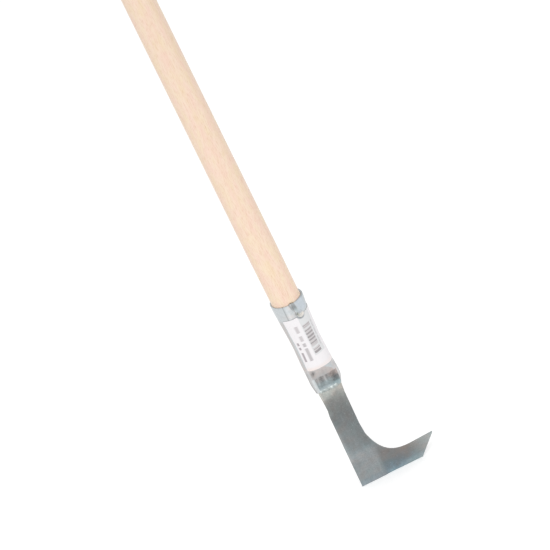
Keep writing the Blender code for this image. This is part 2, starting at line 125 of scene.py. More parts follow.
def makePiece(name, points, faces, material, sharpAngle, uv=None, attributes=None):
    # a mesh of quads and triangles that is turned round where it would face inwards
    volume = 0
    for some in faces:
        first = points[some[:, 0]]
        for step in range(1, some.shape[1] - 1):
            slanted = np.cross(points[some[:, step]], points[some[:, step + 1]])
            volume += np.einsum("ij,ij->i", first, slanted).sum()
    if volume < 0:
        faces = [some[:, ::-1] for some in faces]
    mesh = bpy.data.meshes.new(name)
    mesh.from_pydata((points * mm).tolist(), [], [face for some in faces for face in some.tolist()])
    if uv is not None:
        loops = np.empty(len(mesh.loops), np.int32)
        mesh.loops.foreach_get("vertex_index", loops)
        layer = mesh.uv_layers.new(name="sheetPlane")
        layer.data.foreach_set("uv", uv[loops].astype(np.float32).ravel())
    for key, values in (attributes or {}).items():
        mesh.attributes.new(key, "FLOAT", "POINT").data.foreach_set("value", values.astype(np.float32))
    mesh.shade_smooth()
    mesh.set_sharp_from_angle(angle=math.radians(sharpAngle))
    mesh.materials.append(material)
    return addObject(name, mesh)


def makeTurned(name, grid, material, sharpAngle, attributes=None):
    # a grid closed round its columns, whose first and last rows are the two poles
    def poled(values):
        # the rows between the poles, then one point for each pole
        middle = values[1:-1].reshape(-1, *values.shape[2:])
        return np.concatenate([middle, values[0, :1], values[-1, :1]])

    rows, columns = grid.shape[:2]
    around = np.arange(columns)
    beside = (around + 1) % columns
    lastRow = (rows - 3) * columns
    top = np.full(columns, (rows - 2) * columns)
    fans = np.concatenate([
        np.stack([top, beside, around], axis=1),
        np.stack([top + 1, lastRow + around, lastRow + beside], axis=1),
    ])
    quads = gridQuads(rows - 2, columns, closeColumns=True)
    tones = {key: poled(values) for key, values in (attributes or {}).items()}
    return makePiece(name, poled(grid), [quads, fans], material, sharpAngle, attributes=tones)


def makeWall(name, outer, inner, material, sharpAngle, uv=None, attributes=None):
    # outer and inner grids joined round all four sides; both are rows by columns
    def facing(outside, inside):
        return np.concatenate([outside, inside[::-1]]).reshape(-1, *outside.shape[2:])

    rows, columns = outer.shape[:2]
    faces = [gridQuads(2 * rows, columns, closeRows=True)]
    row = np.arange(rows - 1)
    for column, turn in ((0, 1), (columns - 1, -1)):
        corners = [row, row + 1, 2 * rows - 2 - row, 2 * rows - 1 - row]
        side = np.stack([corner * columns + column for corner in corners], axis=1)
        faces.append(side[:, ::turn])
    tones = {key: facing(values, values) for key, values in (attributes or {}).items()}
    plane = None if uv is None else facing(uv, uv)
    return makePiece(name, facing(outer, inner), faces, material, sharpAngle, plane, tones)


def dress(piece, slot, *nodes):
    # the piece rides with the one body and stands for the CAD nodes
    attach(piece, "root")
    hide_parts(*nodes)
    print("made", piece.name, "with", len(piece.data.polygons), "faces")


def setNode(node, settings):
    # by property, input name or input number. A node given for an input is linked by its first output in
    # use, "#rrggbb" is a colour, From and To are a range's ends, and stops a ramp's (position, "#rrggbb")
    for key, value in settings.items():
        if key in ("From", "To"):
            setNode(node, {key + " Min": value[0], key + " Max": value[1]})
        elif key == "stops":
            elements = node.color_ramp.elements
            while len(elements) < len(value):
                elements.new(1)
            for element, (position, color) in zip(elements, value):
                element.position = position
                element.color = linearColor(color)
        elif not isinstance(key, int) and key not in node.inputs:
            setattr(node, key, value)
        elif isinstance(value, (bpy.types.Node, bpy.types.NodeSocket)):
            outputs = getattr(value, "outputs", [value])
            node.id_data.links.new(next(output for output in outputs if output.enabled), node.inputs[key])
        else:
            node.inputs[key].default_value = linearColor(value) if isinstance(value, str) else value


def addNode(tree, kind, settings=None):
    node = tree.nodes.new("ShaderNode" + kind)
    setNode(node, settings or {})
    return node


def newMaterial(name):
    # the material, its shader and addNode for its tree
    material = bpy.data.materials.new(name)
    material.use_nodes = True
    return material, material.node_tree.nodes["Principled BSDF"], partial(addNode, material.node_tree)


def cells(size):
    # the scale of a pattern whose cells are this many millimetres wide
    return 1 / (size * mm)


def grain(add, place, sizes, settings, turn=(0, 0, 0)):
    # noise whose cells are stretched to these sizes along X, Y and Z
    stretched = add("Mapping", {"Scale": [cells(size) for size in sizes], "Rotation": turn, "Vector": place})
    return add("TexNoise", {"Scale": 1.0, "Vector": stretched, **settings})


# The socket's outline, shared by the socket, the handle's end and the label

socketShape = {
    "sheet": 1.2,
    "mouthGap": 0.4,
    "mouthRadius": 13.65,
    "waistRadius": 12.3,
    "waistDrop": 50,
    "pressDrop": 70,
    "pressStartRadius": 14.0,
    "creaseDrop": 81.3,
    "creaseHalfDepth": 11.7,
    "shoulderDrop": 89.5,
    "lipDrop": 97.5,
    "lipHalfDepth": 1.8,
    "bendSoftness": 0.55,
    "shoulderCurve": 1.5,
    # on the right, then on the left
    "shoulders": (15.1, 14.0),
    "creaseFlats": (11.2, 8.8),
    "endFlats": (10.1, 8.6),
    "endCorners": (0.8, 2.8),
    "cornerShare": 0.55,
    "seamGap": 0.24,
    "seamShut": 0.06,
    "seamMouthX": 2.1,
    "seamEndX": 0.5,
    "foldDepth": 1.6,
    "foldWidth": 2.9,
    "foldLength": 10,
    "foldCurve": 1.25,
    "frontBearing": math.radians(42),
    "sideBearing": math.radians(78),
}
outlineSteps = {"fold": 14, "front": 38, "corner": 16, "side": 8, "back": 36}


def boreRadius(drop):
    # inside radius: from the mouth in to the waist, then out to where the press starts
    s = socketShape
    mouth = s["mouthRadius"] + s["mouthGap"]
    press = s["pressStartRadius"] - s["sheet"]
    toWaist = between(drop, 0, s["waistDrop"], mouth, s["waistRadius"])
    return toWaist + between(drop, s["waistDrop"], s["pressDrop"], 0, press - s["waistRadius"])


def pressedDepth(drop):
    # inside half-depth: straight slopes from press to crease to lip, their bends softened by a running mean
    s = socketShape
    fine = np.linspace(s["pressDrop"] - 5, socketLength + 5, 2400)
    corners = [s["pressDrop"], s["creaseDrop"], s["lipDrop"]]
    depths = [s["pressStartRadius"] - s["sheet"], s["creaseHalfDepth"] - s["sheet"], s["lipHalfDepth"]]
    straight = np.interp(fine, corners, depths)
    step = fine[1] - fine[0]
    reach = np.arange(-4 * s["bendSoftness"], 4 * s["bendSoftness"] + step, step)
    weight = bump(reach, s["bendSoftness"])
    margin = len(reach) // 2
    soft = np.convolve(np.pad(straight, margin, mode="edge"), weight / weight.sum(), mode="same")
    return np.interp(drop, fine, soft[margin:margin + len(fine)])


def pressedWidth(drop, shoulder, end):
    # inside half-width of one side: out to the shoulder, then in to the end by a power of 1.5
    s = socketShape
    out = between(drop, s["pressDrop"], s["shoulderDrop"], boreRadius(s["pressDrop"]), shoulder - s["sheet"])
    inwards = between(drop, s["shoulderDrop"], socketLength, ease=np.positive) ** s["shoulderCurve"]
    return out + inwards * (end - shoulder + s["sheet"])


def seamX(drop):
    s = socketShape
    return between(drop, s["waistDrop"], socketLength, s["seamMouthX"], s["seamEndX"])


def frontStretch(first, last, drop):
    # places from the seam to the corner, the near ones for the turned-in edge; the seam shuts at the press
    s = socketShape
    gap = between(drop, s["waistDrop"], s["pressDrop"], s["seamGap"], s["seamShut"]) / 2
    near = gap + (s["foldWidth"] - gap) * np.linspace(0, 1, outlineSteps["fold"] + 1)
    far = np.linspace(0, 1, outlineSteps["front"] + 1)[1:]
    start = first + np.sign(last - first) * near
    return np.concatenate([start, start[:, -1:] + (last - start[:, -1:]) * far], axis=1)


def socketOutline(drop, out):
    # rows of points round the socket at each drop, a distance out from its inside, seam edge to seam edge:
    # a circle above, a box with rounded corners below, and an eased mix of both along the press
    s, n = socketShape, outlineSteps
    drop = np.atleast_1d(drop)[:, None]
    front, side = s["frontBearing"], s["sideBearing"]
    radius = boreRadius(np.minimum(drop, s["pressDrop"])) + out
    seam = np.arcsin(seamX(drop) / radius)
    right, left = [seam + frontStretch(0 * seam, (turn - seam) * radius, drop) / radius
                   for turn in (front, -front)]
    stretches = [(front, side, n["corner"]), (side, math.pi - side, n["side"]),
                 (math.pi - side, math.pi - front, n["corner"])]
    half = [np.linspace(start, end, count + 1)[1:] for start, end, count in stretches]
    half = np.concatenate(half)[None] + 0 * seam
    back = np.linspace(math.pi - front, math.pi + front, n["back"] + 1)[1:-1][None] + 0 * seam
    bearing = np.concatenate([
        right, half, back, 2 * math.pi - half[:, ::-1], 2 * math.pi + left[:, ::-1]], axis=1)
    rolled = radius[..., None] * np.stack([np.sin(bearing), -np.cos(bearing)], axis=-1)

    low = np.maximum(drop, s["pressDrop"])
    depth = pressedDepth(low)
    tall = s["cornerShare"] * depth
    flat = depth - tall
    angle = np.linspace(0, math.pi / 2, n["corner"] + 1)[1:][None]
    sine, cosine = np.sin(angle), np.cos(angle)
    beside = flat * np.linspace(-1, 1, n["side"] + 1)[1:][None]
    halves, ends = [], []
    for k, way in ((0, 1), (1, -1)):
        corner = between(low, s["creaseDrop"], socketLength, s["creaseFlats"][k], s["endFlats"][k])
        width = pressedWidth(low, s["shoulders"][k], s["endFlats"][k] + s["endCorners"][k])
        reach = width - corner + out
        flatFront = frontStretch(seamX(low), way * corner, low)
        x = [flatFront, way * (corner + reach * sine), way * (width + out + 0 * beside),
             way * (corner + reach * cosine)]
        y = [-depth - out + 0 * flatFront, -flat - (tall + out) * cosine, beside, flat + (tall + out) * sine]
        halves.append(np.stack([np.concatenate(x, axis=1), np.concatenate(y, axis=1)], axis=-1))
        ends.append(way * corner)
    backX = ends[0] + (ends[1] - ends[0]) * np.linspace(0, 1, n["back"] + 1)[1:-1][None]
    flatBack = np.stack([backX, depth + out + 0 * backX], axis=-1)
    pressed = np.concatenate([halves[0], flatBack, halves[1][:, ::-1]], axis=1)
    share = between(drop, s["pressDrop"], s["creaseDrop"])[..., None]
    ring = (1 - share) * rolled + share * pressed
    return np.concatenate([ring, (mouthHeight - drop)[..., None] + 0 * ring[..., :1]], axis=-1)


def foldIn(distance, drop):
    # how far the sheet is turned in, by distance from the seam: a V with a soft outer shoulder
    s = socketShape
    share = np.clip(1 - (distance - s["seamGap"] / 2) / (s["foldWidth"] - s["seamGap"] / 2), 0, 1)
    return s["foldDepth"] * np.clip(1 - drop / s["foldLength"], 0, 1) * share ** s["foldCurve"]


# Ash handle

handleShape = {
    "diameter": 28,
    "taperLength": 55,
    "burrHeight": 0.8,
    "mouthGap": 0.1,
    "waistGap": 0.3,
    "tipRadius": 11.5,
    "tipChamfer": 1.5,
    "flatRadius": 6.5,
    "domeHeight": 9,
    "unevenness": 0.04,
    "unevenLength": 90,
    # the dent by the turned-in edges, against their own depth and nearness
    "dentDepth": 1.05,
    "dentNearness": 0.92,
    "columns": 160,
}


def makeHandle(material):
    # radius by height: a flat, a quarter ellipse for the dome, the shaft, the taper, and the end in the bore
    h, s = handleShape, socketShape
    radius = h["diameter"] / 2
    taperTop = mouthHeight + h["taperLength"]
    angle = np.linspace(0, math.pi / 2, 25)
    flat = np.linspace(0, h["flatRadius"], 7)[:-1]
    dome = h["flatRadius"] + (radius - h["flatRadius"]) * np.sin(angle)
    domeTop = handleButt - h["domeHeight"] * (1 - np.cos(angle))
    shaft = np.linspace(domeTop[-1], taperTop, 130)[1:]
    taper = np.linspace(taperTop, mouthHeight + h["burrHeight"], 40)[1:]
    fitted = np.linspace(0, s["waistDrop"], 51)
    gap = np.interp(fitted, [0, s["waistDrop"]], [h["mouthGap"], h["waistGap"]])
    heights = np.concatenate([
        0 * flat + handleButt, domeTop, shaft, taper, mouthHeight - fitted,
        [handleTip + h["tipChamfer"], handleTip, handleTip]])
    radii = np.concatenate([
        flat, dome, 0 * shaft + radius,
        np.interp(taper, [mouthHeight, taperTop], [s["mouthRadius"], radius]),
        boreRadius(fitted) - gap, [h["tipRadius"], h["tipRadius"] - h["tipChamfer"], 0]])[:, None]
    bearing = np.linspace(0, 2 * math.pi, h["columns"], endpoint=False)[None]
    drop = mouthHeight - heights[:, None]
    uneven = h["unevenness"] * waviness(3, 1, bearing / math.pi, drop / h["unevenLength"])
    across = radii + uneven * np.clip(radii / radius, 0, 1) * np.clip(-drop / 30, 0, 1)
    distance = h["dentNearness"] * np.abs(np.sin(bearing) * s["mouthRadius"] - seamX(drop))
    inFront = (drop >= 0) & (np.cos(bearing) > 0)
    across = across - inFront * h["dentDepth"] * foldIn(distance, drop)
    x, y = across * np.sin(bearing), -across * np.cos(bearing)
    grid = np.stack([x, y, heights[:, None] + 0 * bearing], axis=-1)
    dress(makeTurned("ashHandle", grid, material, 50), "ash_wood", "handle")


# Rolled socket

socketDetail = {
    "rimRound": 0.35,
    "rimDraw": 0.55,
    # on its right the rim springs out and is sunk: how far, and where that grows across and down
    "rimSprung": 0.7,
    "sprungAcross": (7, 14),
    "sprungDown": (16, 1),
    "rimSunk": 1.0,
    "sunkAcross": (10.5, 15),
    "sunkDown": (8, 0),
    "creaseLineX": -6.25,
    "creaseLineLean": 0.96,
    "creaseLineDepth": 0.16,
    "creaseLineWidth": 0.42,
    "creaseLineDown": (72, 60),
    "screwDimple": 0.25,
    "screwDimpleWidth": 5.2,
    # across, down, half width and depth
    "dents": [(-7.8, 75.4, 1.9, 0.75), (11.6, 83.5, 1.7, 0.5), (9.2, 88.0, 2.6, 0.35)],
    "pleatX": 0.5,
    "pleatLength": 6.5,
    "pleatDepth": 0.16,
    "pleatWander": 0.4,
    "pleatAcross": (11, 8),
    "pleatStart": (-1, 4),
    "pleatEnd": (2, -2),
    "waves": 0.035,
    "waveLength": 18,
}
screwPlace = {"drop": 13.2, "bearing": math.radians(24.3)}

socketTones = {
    # the pressed end's sides at the crease and at the lip, and how soft they are in front and behind
    "boxLeft": (-8.9, -8.7),
    "boxRight": (12.9, 12.5),
    "boxSoft": (0.4, 1.8),
    # by the drop from the mouth: the pressed end's painted shade and heat tint, and the upper slope's
    # painted shade and warmth
    "boxShades": [(81.3, 0.6), (86, 0.6), (92, 0.68), (96, 0.66), (98, 0.69), (101.5, 0.83)],
    "boxWarmth": [(81.3, 0.45), (86, 0.36), (90, 0.08), (93, 0), (101.5, 0)],
    "boxCool": [(81.3, 0.0), (86, 0.0), (89.5, 0.16), (92, 0.46), (97, 0.48), (101.5, 0.25)],
    "slopeShades": [(71, 0.9), (74, 0.82), (80, 0.76)],
    "slopeWarmth": [(71, 0.9), (73.4, 0.7), (76.3, 0.52), (77.7, 0.55), (80, 0.45)],
    # pleats of painted light and shade: across, half width and gain
    "pleats": [(-7.9, 1.0, -0.1), (-6.4, 0.8, 0.26), (-4.8, 1.0, -0.12), (-2.9, 1.2, -0.32),
               (0.5, 0.75, 0.6), (2.6, 0.8, -0.16), (9.0, 2.3, -0.32)],
    # on the front: across, down, half width, half height and turn, then what shade, warm and cool gain
    "blots": [
        # painted shade in the dent on the upper slope, and the paler sheet left of it
        ((-7.9, 75.8, 1.7, 2.6, -32), (-0.46, 0, 0)),
        ((-8.9, 77.7, 1.2, 1.8, 0), (-0.1, 0, 0)),
        ((-12.4, 74.5, 1.5, 4.5, 0), (0.07, 0, 0)),
        # by the weld, the last a painted highlight on the end's left corner
        ((6.5, 98.8, 2, 1.5, 0), (-0.12, 0, 0)),
        ((1.9, 98.6, 1.4, 1.3, 0), (0.14, 0, 0)),
        ((-9.2, 101, 1.3, 1.8, 0), (0.1, 0, 0)),
        # a painted highlight left of the V, painted shade in the V, painted highlights on the rim over it,
        # and down from it a blue-green band, a warm, slightly paler patch and painted shade left of the
        # screw's head
        ((-1.3, 2.4, 1.5, 2.4, 0), (0.1, 0.35, 0)),
        ((3.4, 4, 1.5, 2.4, 0), (-0.24, 0, 0)),
        ((1.7, 1.1, 0.9, 1.3, 0), (0.6, 0, 0)),
        ((1.8, 0, 2.2, 0.6, 0), (0.35, 0, 0)),
        ((4.2, 7.8, 1.2, 3.2, 25), (-0.12, 0, 0.4)),
        ((-3, 12, 6, 3, 0), (0, 0.35, 0)),
        ((-2, 11, 3, 3, 0), (0.06, 0, 0)),
        ((2.5, 11.3, 1.7, 1.7, 0), (-0.3, 0, 0)),
        # the shadow under the screw's head
        ((5.9, 17.2, 3.4, 0.9, 0), (-0.28, 0.6, 0)),
    ],
}


def toneSocket(x, y, down):
    # shade is painted light and shade: darker in folds, dents, pleats, the V, along the rim and over the
    # pressed end, lighter on bright strips. warm is the straw and brown tint of heat, cool the blue-green
    # one beyond it, and blue the tint of the plating by the mouth
    s, t = socketShape, socketTones
    front = (y < 0).astype(float)
    tables = ("boxShades", "boxWarmth", "boxCool", "slopeShades", "slopeWarmth")
    boxShade, boxWarm, boxCool, slopeShade, slopeWarm = [
        np.interp(down, *np.transpose(t[key])) for key in tables]

    # the pressed end's painted shade and heat tint: crisp in front, where it starts higher on the right, and
    # faint and soft behind
    share = np.clip((down - s["creaseDrop"]) / (s["lipDrop"] - s["creaseDrop"]), 0, 1.3)
    left, right = [start + (end - start) * share for start, end in (t["boxLeft"], t["boxRight"])]
    sharp, smooth = t["boxSoft"]
    crease = between(down + between(x, 6, 9, 0, 0.7), 81, 81.8)
    behind = window(x, left, right, smooth) * between(down, 79.5, 85, 0, 0.75)
    inBox = np.where(y < 0, window(x, left, right, sharp) * crease, behind)
    fanned = x / (0.9 + 0.16 * share)
    pleats = sum(gain * bump(fanned - at, width) for at, width, gain in t["pleats"])
    toRight = front * between(x, 3, 8)
    for gain, mask in (
            (1, pleats * np.where(y < 0, between(down, 88, 95, 1, 0.2), 0.4)),
            (-0.2, bump(x - 0.5, 1.1) * between(down, 82, 86, 1, 0)),
            (-0.09, front * between(x, -4, -7) * window(down, 93, 98, 1.5)),
            (-0.4, toRight * window(down, 88, 96, 2))):
        boxShade = boxShade * (1 + gain * mask)
    boxWarm = boxWarm * (1 + 2.2 * toRight)
    boxCool = boxCool * (1 - 0.3 * toRight + 1.1 * toRight * between(down, 93, 97))

    # the upper slope: painted shade and a warm tint below a slanting fold, cool and pale to the right of it
    slant = down - between(x, 2, 6, 72.2, 72.4) - np.maximum(x - 4, 0) * 0.84 * front
    onSlope = between(slant, -0.6, 0.8) * between(np.abs(x), 9.6, 11.4, 1, 0)
    scorched = front * between(x, 2, 9) * between(down, 77, 80.5)
    slopeShade = 0.95 + (slopeShade - 0.95) * onSlope
    slopeWarm = onSlope * (slopeWarm + 0.5 * scorched)
    above = between(down, 64, 71) * (1 - crease)
    shade = (1 + above * (slopeShade - 1)) * (1 - inBox) + boxShade * inBox
    warm = above * slopeWarm * (1 - inBox) + boxWarm * inBox
    cool = boxCool * inBox

    # painted shade on the sides, where the sheet turns away, a painted highlight on the band left of the
    # pressed end, then at the mouth painted shade in the fold line, a painted highlight on the strip beside
    # it, painted shade in the V of the turned-in edges, the sheet by the label, and painted shade along the
    # rim, most on its right, and down the right side below it
    forward = -y / (pressedDepth(down) + s["sheet"])
    side = between(np.abs(x), 9.5, 12.5) * between(down, 66, 74)
    byLabel = between(x, -11, -12.4) * between(down, 14, 20)
    line = bump(x - socketDetail["creaseLineX"], 0.5)
    vee = window(x, 0.2 * down - 0.9, 0.13 * down + 4.7, 0.35)
    patches = [
        (side * between(down, 74, 82, 1, 0), (0.05, 0, 0)),
        (side, (0, 0.3, 0)),
        (between(forward, 0.5, 0.85, 1, 0) * between(down, 73, 79), (-0.3, 0, 0)),
        (front * window(x, -12.4, -8.9, 0.6) * window(down, 82, 97, 3), (0.13, 0.25, 0.25)),
        (front * line * between(down, 14, 20, 1, 0), (-0.31, 0, 0)),
        (front * bump(x + 3.6, 1.3) * between(down, 12, 18, 1, 0), (0.14, 0, 0)),
        (front * vee * between(down, 5, 9, 1, 0), (-0.34, 0, 0)),
        (byLabel, (-0.16, 0, 0)),
        (byLabel * between(down, 70, 76, 1, 0), (0, 0.5, 0)),
        (between(x, 12, 13.5, 0.1, 0.24) * between(down, 0.3, 1.1, 1, 0), (-1, 0, 0)),
        (front * between(x, 12.5, 14) * between(down, 12, 15, 1, 0), (-0.06, 0, 0)),
    ]
    patches += [(front * blot(x, down, *place), gains) for place, gains in t["blots"]]
    for mask, (lighter, warmer, cooler) in patches:
        shade = shade * (1 + lighter * mask)
        warm = warm + warmer * mask
        cool = cool + cooler * mask
    blue = 0.42 * front * window(x, 6, 14, 1.5) * between(down, 10, 14, 1, 0)
    return {"shade": shade, "warm": warm, "cool": cool, "blue": blue}


def socketDrops():
    # rows closer together at the mouth's rim and over the pressed end
    press = socketShape["pressDrop"]
    return np.concatenate([
        [0, 0.12, 0.35, 0.7], np.linspace(1.1, press, 78), np.linspace(press, socketLength - 0.5, 76)[1:],
        socketLength - np.array([0.25, 0.08, 0])])


def socketSkin(drop, out, folded=True):
    # the outline, moved along its normals by waves, the fold line, the dents, the pleats and the screw's
    # dimple, then sprung and sunk at the rim and folded in beside the seam
    s, d = socketShape, socketDetail
    grid = socketOutline(drop, out)
    x, y = grid[..., 0], grid[..., 1]
    down = drop[:, None] + 0 * x
    front = y < 0
    outward = gridNormals(socketOutline(drop, s["sheet"]))
    # at the middle of the back, near the mouth, outwards is away from the axis
    behind = 5, grid.shape[1] // 2
    if (outward[behind] * grid[behind])[:2].sum() < 0:
        outward = -outward
    move = d["waves"] * waviness(11, d["waveLength"], x, y, down) * np.clip(down / 6, 0.2, 1)
    lineX = d["creaseLineX"] * between(down, 0, s["waistDrop"], 1, d["creaseLineLean"])
    line = bump(x - lineX, d["creaseLineWidth"]) * between(down, *d["creaseLineDown"])
    move = move - front * d["creaseLineDepth"] * line
    for dentX, dentDrop, width, depth in d["dents"]:
        move = move - front * depth * bump(np.hypot(x - dentX, down - dentDrop), width)
    turns = 2 * math.pi * (x - d["pleatX"]) / d["pleatLength"] + d["pleatWander"] * waviness(7, 12, x, down)
    pleated = between(np.abs(x), *d["pleatAcross"]) * between(down - s["creaseDrop"], *d["pleatStart"])
    pleated = pleated * between(down - s["lipDrop"], *d["pleatEnd"])
    move = move + d["pleatDepth"] * np.cos(turns) * pleated
    radius = boreRadius(screwPlace["drop"]) + s["sheet"]
    screwX, screwY = radius * math.sin(screwPlace["bearing"]), -radius * math.cos(screwPlace["bearing"])
    away = np.sqrt((x - screwX) ** 2 + (y - screwY) ** 2 + (down - screwPlace["drop"]) ** 2)
    move = move - d["screwDimple"] * bump(away, d["screwDimpleWidth"])
    # the rim springs out a little on its right, and is upset thicker there
    sprung = d["rimSprung"] * between(x, *d["sprungAcross"]) * between(down, *d["sprungDown"])
    move = move + sprung * (0.1 + 0.9 * out / s["sheet"])
    sunk = d["rimSunk"] * between(x, *d["sunkAcross"]) * between(down, *d["sunkDown"])
    fromSeam = np.abs(x - seamX(down))
    grid = grid + outward * move[..., None]
    grid[..., 2] -= sunk
    if folded:
        grid[..., 1] += front * (fromSeam < s["foldWidth"]) * foldIn(fromSeam, down)
    return grid


def makeSocket(material):
    # the outer and inner skins, drawn together in a quarter circle at the rim and at the end
    d = socketDetail
    drops = socketDrops()
    skins = [socketSkin(drops, out) for out in (socketShape["sheet"], 0)]
    square = np.clip(1 - np.minimum(drops, socketLength - drops) / d["rimRound"], 0, 1)
    draw = d["rimDraw"] * (1 - np.sqrt(1 - square ** 2))[:, None, None]
    middle = (skins[0] + skins[1]) / 2
    outer, inner = [skin + (middle - skin) * draw for skin in skins]
    tones = toneSocket(outer[..., 0], outer[..., 1], drops[:, None] + 0 * outer[..., 0])
    socket = makeWall("rolledSocket", outer, inner, material, 35, attributes=tones)
    dress(socket, "zinc_plated_sheet", "socket")


# Blade

bladeShape = {
    "thickness": 3,
    "edgeBreak": 0.28,
    "breakDepth": 0.8,
    "neckTop": socketFoot - 0.3,
    "tangHalfWidth": 9.7,
    "tangTop": socketFoot + 22,
    # places are across and up; the throat is a curve's four control points
    "left": [(-11.45, 107.2), (-10.8, 95.5), (-10.55, 85.5), (-11.45, 79), (-11.75, 60), (-12.1, 42),
             (-12.38, 20), (-12.55, 0)],
    "right": [(11.8, 107.2), (10.9, 97), (10.2, 60), (11.0, 47.5)],
    "throat": [(11.0, 47.5), (17.38, 21.5), (28.7, 18.0), (42.5, 17.9)],
    "hookTip": (65.9, 18.9),
    "hookFoot": (48.6, 0),
    "heelEnd": 30,
    "heelShare": 0.52,
    "grindStart": 9.5,
    "grindFull": 16.5,
    "grindHeight": 29,
    "grindDepth": 0.65,
    "bevelHeight": 1.1,
    "bevelDepth": 0.2,
    "bevelAcross": (-12, 14),
    "bevelAtLeft": 0.4,
    "faceWaves": 0.035,
    "waveLength": 22,
    # paler and darker spots: across, up, half width, half height and gain. Those on the right edge and on
    # the left edge's middle are painted highlights along the edge
    "spots": [(-9.4, 82, 1.8, 2.6, 0.26), (-11.3, 51, 1.7, 10, 0.14), (-8.5, 23, 5.5, 7, -0.09),
              (-6.5, 97.5, 5.5, 3.2, -0.07), (9.2, 89, 1.9, 7.5, 0.2), (9.9, 61.5, 1.3, 6.5, 0.15)],
    "across": 46,
}


def alongBezier(p, t):
    # the cubic through four control points
    p, t = np.array(p), t[:, None]
    return (1 - t) ** 3 * p[0] + 3 * (1 - t) ** 2 * t * p[1] + 3 * (1 - t) * t ** 2 * p[2] + t ** 3 * p[3]


def alongSide(corners, height):
    # points at these heights on straight runs between corners that are listed downwards
    across, up = np.array(corners)[::-1].T
    return np.stack([np.interp(height, up, across), height], axis=1)


def bladeEdges():
    # matching points down the outer edge (left side, bottom) and the inner one (right side, throat, hook)
    b = bladeShape
    throatTop = b["throat"][0][1]
    shank = np.linspace(b["neckTop"], throatTop, 96)
    toHeel = np.linspace(throatTop, 0, 56)[1:]
    foot = np.linspace(b["left"][-1][0], b["heelEnd"], 60)[1:]
    hook = np.linspace(0, 1, 70)[1:, None]
    tang = np.array([(b["tangHalfWidth"], b["tangTop"]), (b["tangHalfWidth"], b["neckTop"] + 0.05)])
    heel, curve = b["heelShare"], b["throat"]
    runs = [
        (tang * [-1, 1], tang),
        (alongSide(b["left"], shank), alongSide(b["right"], shank)),
        (alongSide(b["left"], toHeel), alongBezier(curve, np.linspace(0, heel, 56)[1:])),
        (np.stack([foot, 0 * foot], axis=1), alongBezier(curve, np.linspace(heel, 1, 60)[1:])),
        (np.array([b["heelEnd"], 0]) * (1 - hook) + np.array(b["hookFoot"]) * hook,
         np.array(curve[3]) * (1 - hook) + np.array(b["hookTip"]) * hook),
    ]
    return [np.concatenate(edge) for edge in zip(*runs)]


def bladeFront(x, z):
    # how far the front is ground back: the wheel's arc by height, eased in from the shank, and a fine bevel
    b = bladeShape
    depth, height = b["grindDepth"], b["grindHeight"]
    wheel = (height ** 2 + depth ** 2) / (2 * depth)
    arc = np.sqrt(wheel ** 2 - np.clip(z, 0, height) ** 2) - (wheel - depth)
    hollow = arc * between(x, b["grindStart"], b["grindFull"])
    bevel = b["bevelDepth"] * np.clip(1 - z / b["bevelHeight"], 0, 1)
    bevel = bevel * between(x, *b["bevelAcross"], b["bevelAtLeft"], 1)
    return hollow + bevel + b["faceWaves"] * waviness(23, b["waveLength"], x, z) * between(z, 0, 3)


def makeBlade(material):
    # rows from edge to edge, closed round front and back, whose edges are broken by a quarter circle
    b = bladeShape
    outer, inner = bladeEdges()
    width = np.linalg.norm(inner - outer, axis=1)[:, None]
    near = np.array([0, 0.05, 0.14, 0.28, 0.6])
    first, last = near[-1], width - near[-1]
    middle = first + (last - first) * np.linspace(0, 1, b["across"])[None]
    distance = np.concatenate([near[:-1][None] + 0 * width, middle, width - near[:-1][::-1][None]], axis=1)
    flat = outer[:, None] + (inner - outer)[:, None] * (distance / width)[..., None]
    x, z = flat[..., 0], flat[..., 1]
    fromEnd = np.linalg.norm(flat - flat[-1:], axis=2)
    fromEdge = np.minimum(np.minimum(distance, width - distance), fromEnd)
    square = np.clip(1 - fromEdge / b["edgeBreak"], 0, 1)
    rounded = b["breakDepth"] * b["edgeBreak"] * (1 - np.sqrt(1 - square ** 2))
    front = -b["thickness"] / 2 + bladeFront(x, z) + rounded
    waves = b["faceWaves"] * waviness(29, b["waveLength"], x, z) * (fromEdge > 0)
    faces = [np.stack([x, y, z], axis=-1) for y in (front, b["thickness"] / 2 - rounded + waves)]
    loop = np.concatenate([faces[0], faces[1][:, ::-1]], axis=1)
    spots = 1 + sum(gain * blot(loop[..., 0], loop[..., 2], *place) for *place, gain in b["spots"])
    rows, columns = loop.shape[:2]
    across = np.arange(columns // 2 - 1)
    cap = np.stack([across, across + 1, columns - 2 - across, columns - 1 - across], axis=1)
    quads = [gridQuads(rows, columns, closeColumns=True), cap[:, ::-1], cap + (rows - 1) * columns]
    tones = {"spots": spots.ravel()}
    blade = makePiece("groundBlade", loop.reshape(-1, 3), quads, material, 30, attributes=tones)
    dress(blade, "ground_spring_steel", "blade")


# Weld beads

weldShape = {
    "halfLength": 10.3,
    "halfHeight": 1.75,
    "halfDepth": 1.5,
    "bluntness": 7,
    "centreY": 2.2,
    "flatness": 0.9,
    "overFoot": 0.4,
    "wander": 0.25,
    "ripple": 2.3,
    "rippleDepth": 0.17,
    "rippleCurve": 0.8,
    "rippleLag": 0.9,
    "rippleWander": 0.5,
    "lumps": 0.14,
    "fineLumps": 0.05,
    # drops of metal, swollen and painted bright as glints: place along the bead, half width and how bright
    "drops": [(2.1, 1.3, 0.6), (6.1, 1.4, 0.45), (-4.4, 1.8, 0.12), (-8.6, 1.3, 0.55)],
    "rows": 160,
    "columns": 40,
}


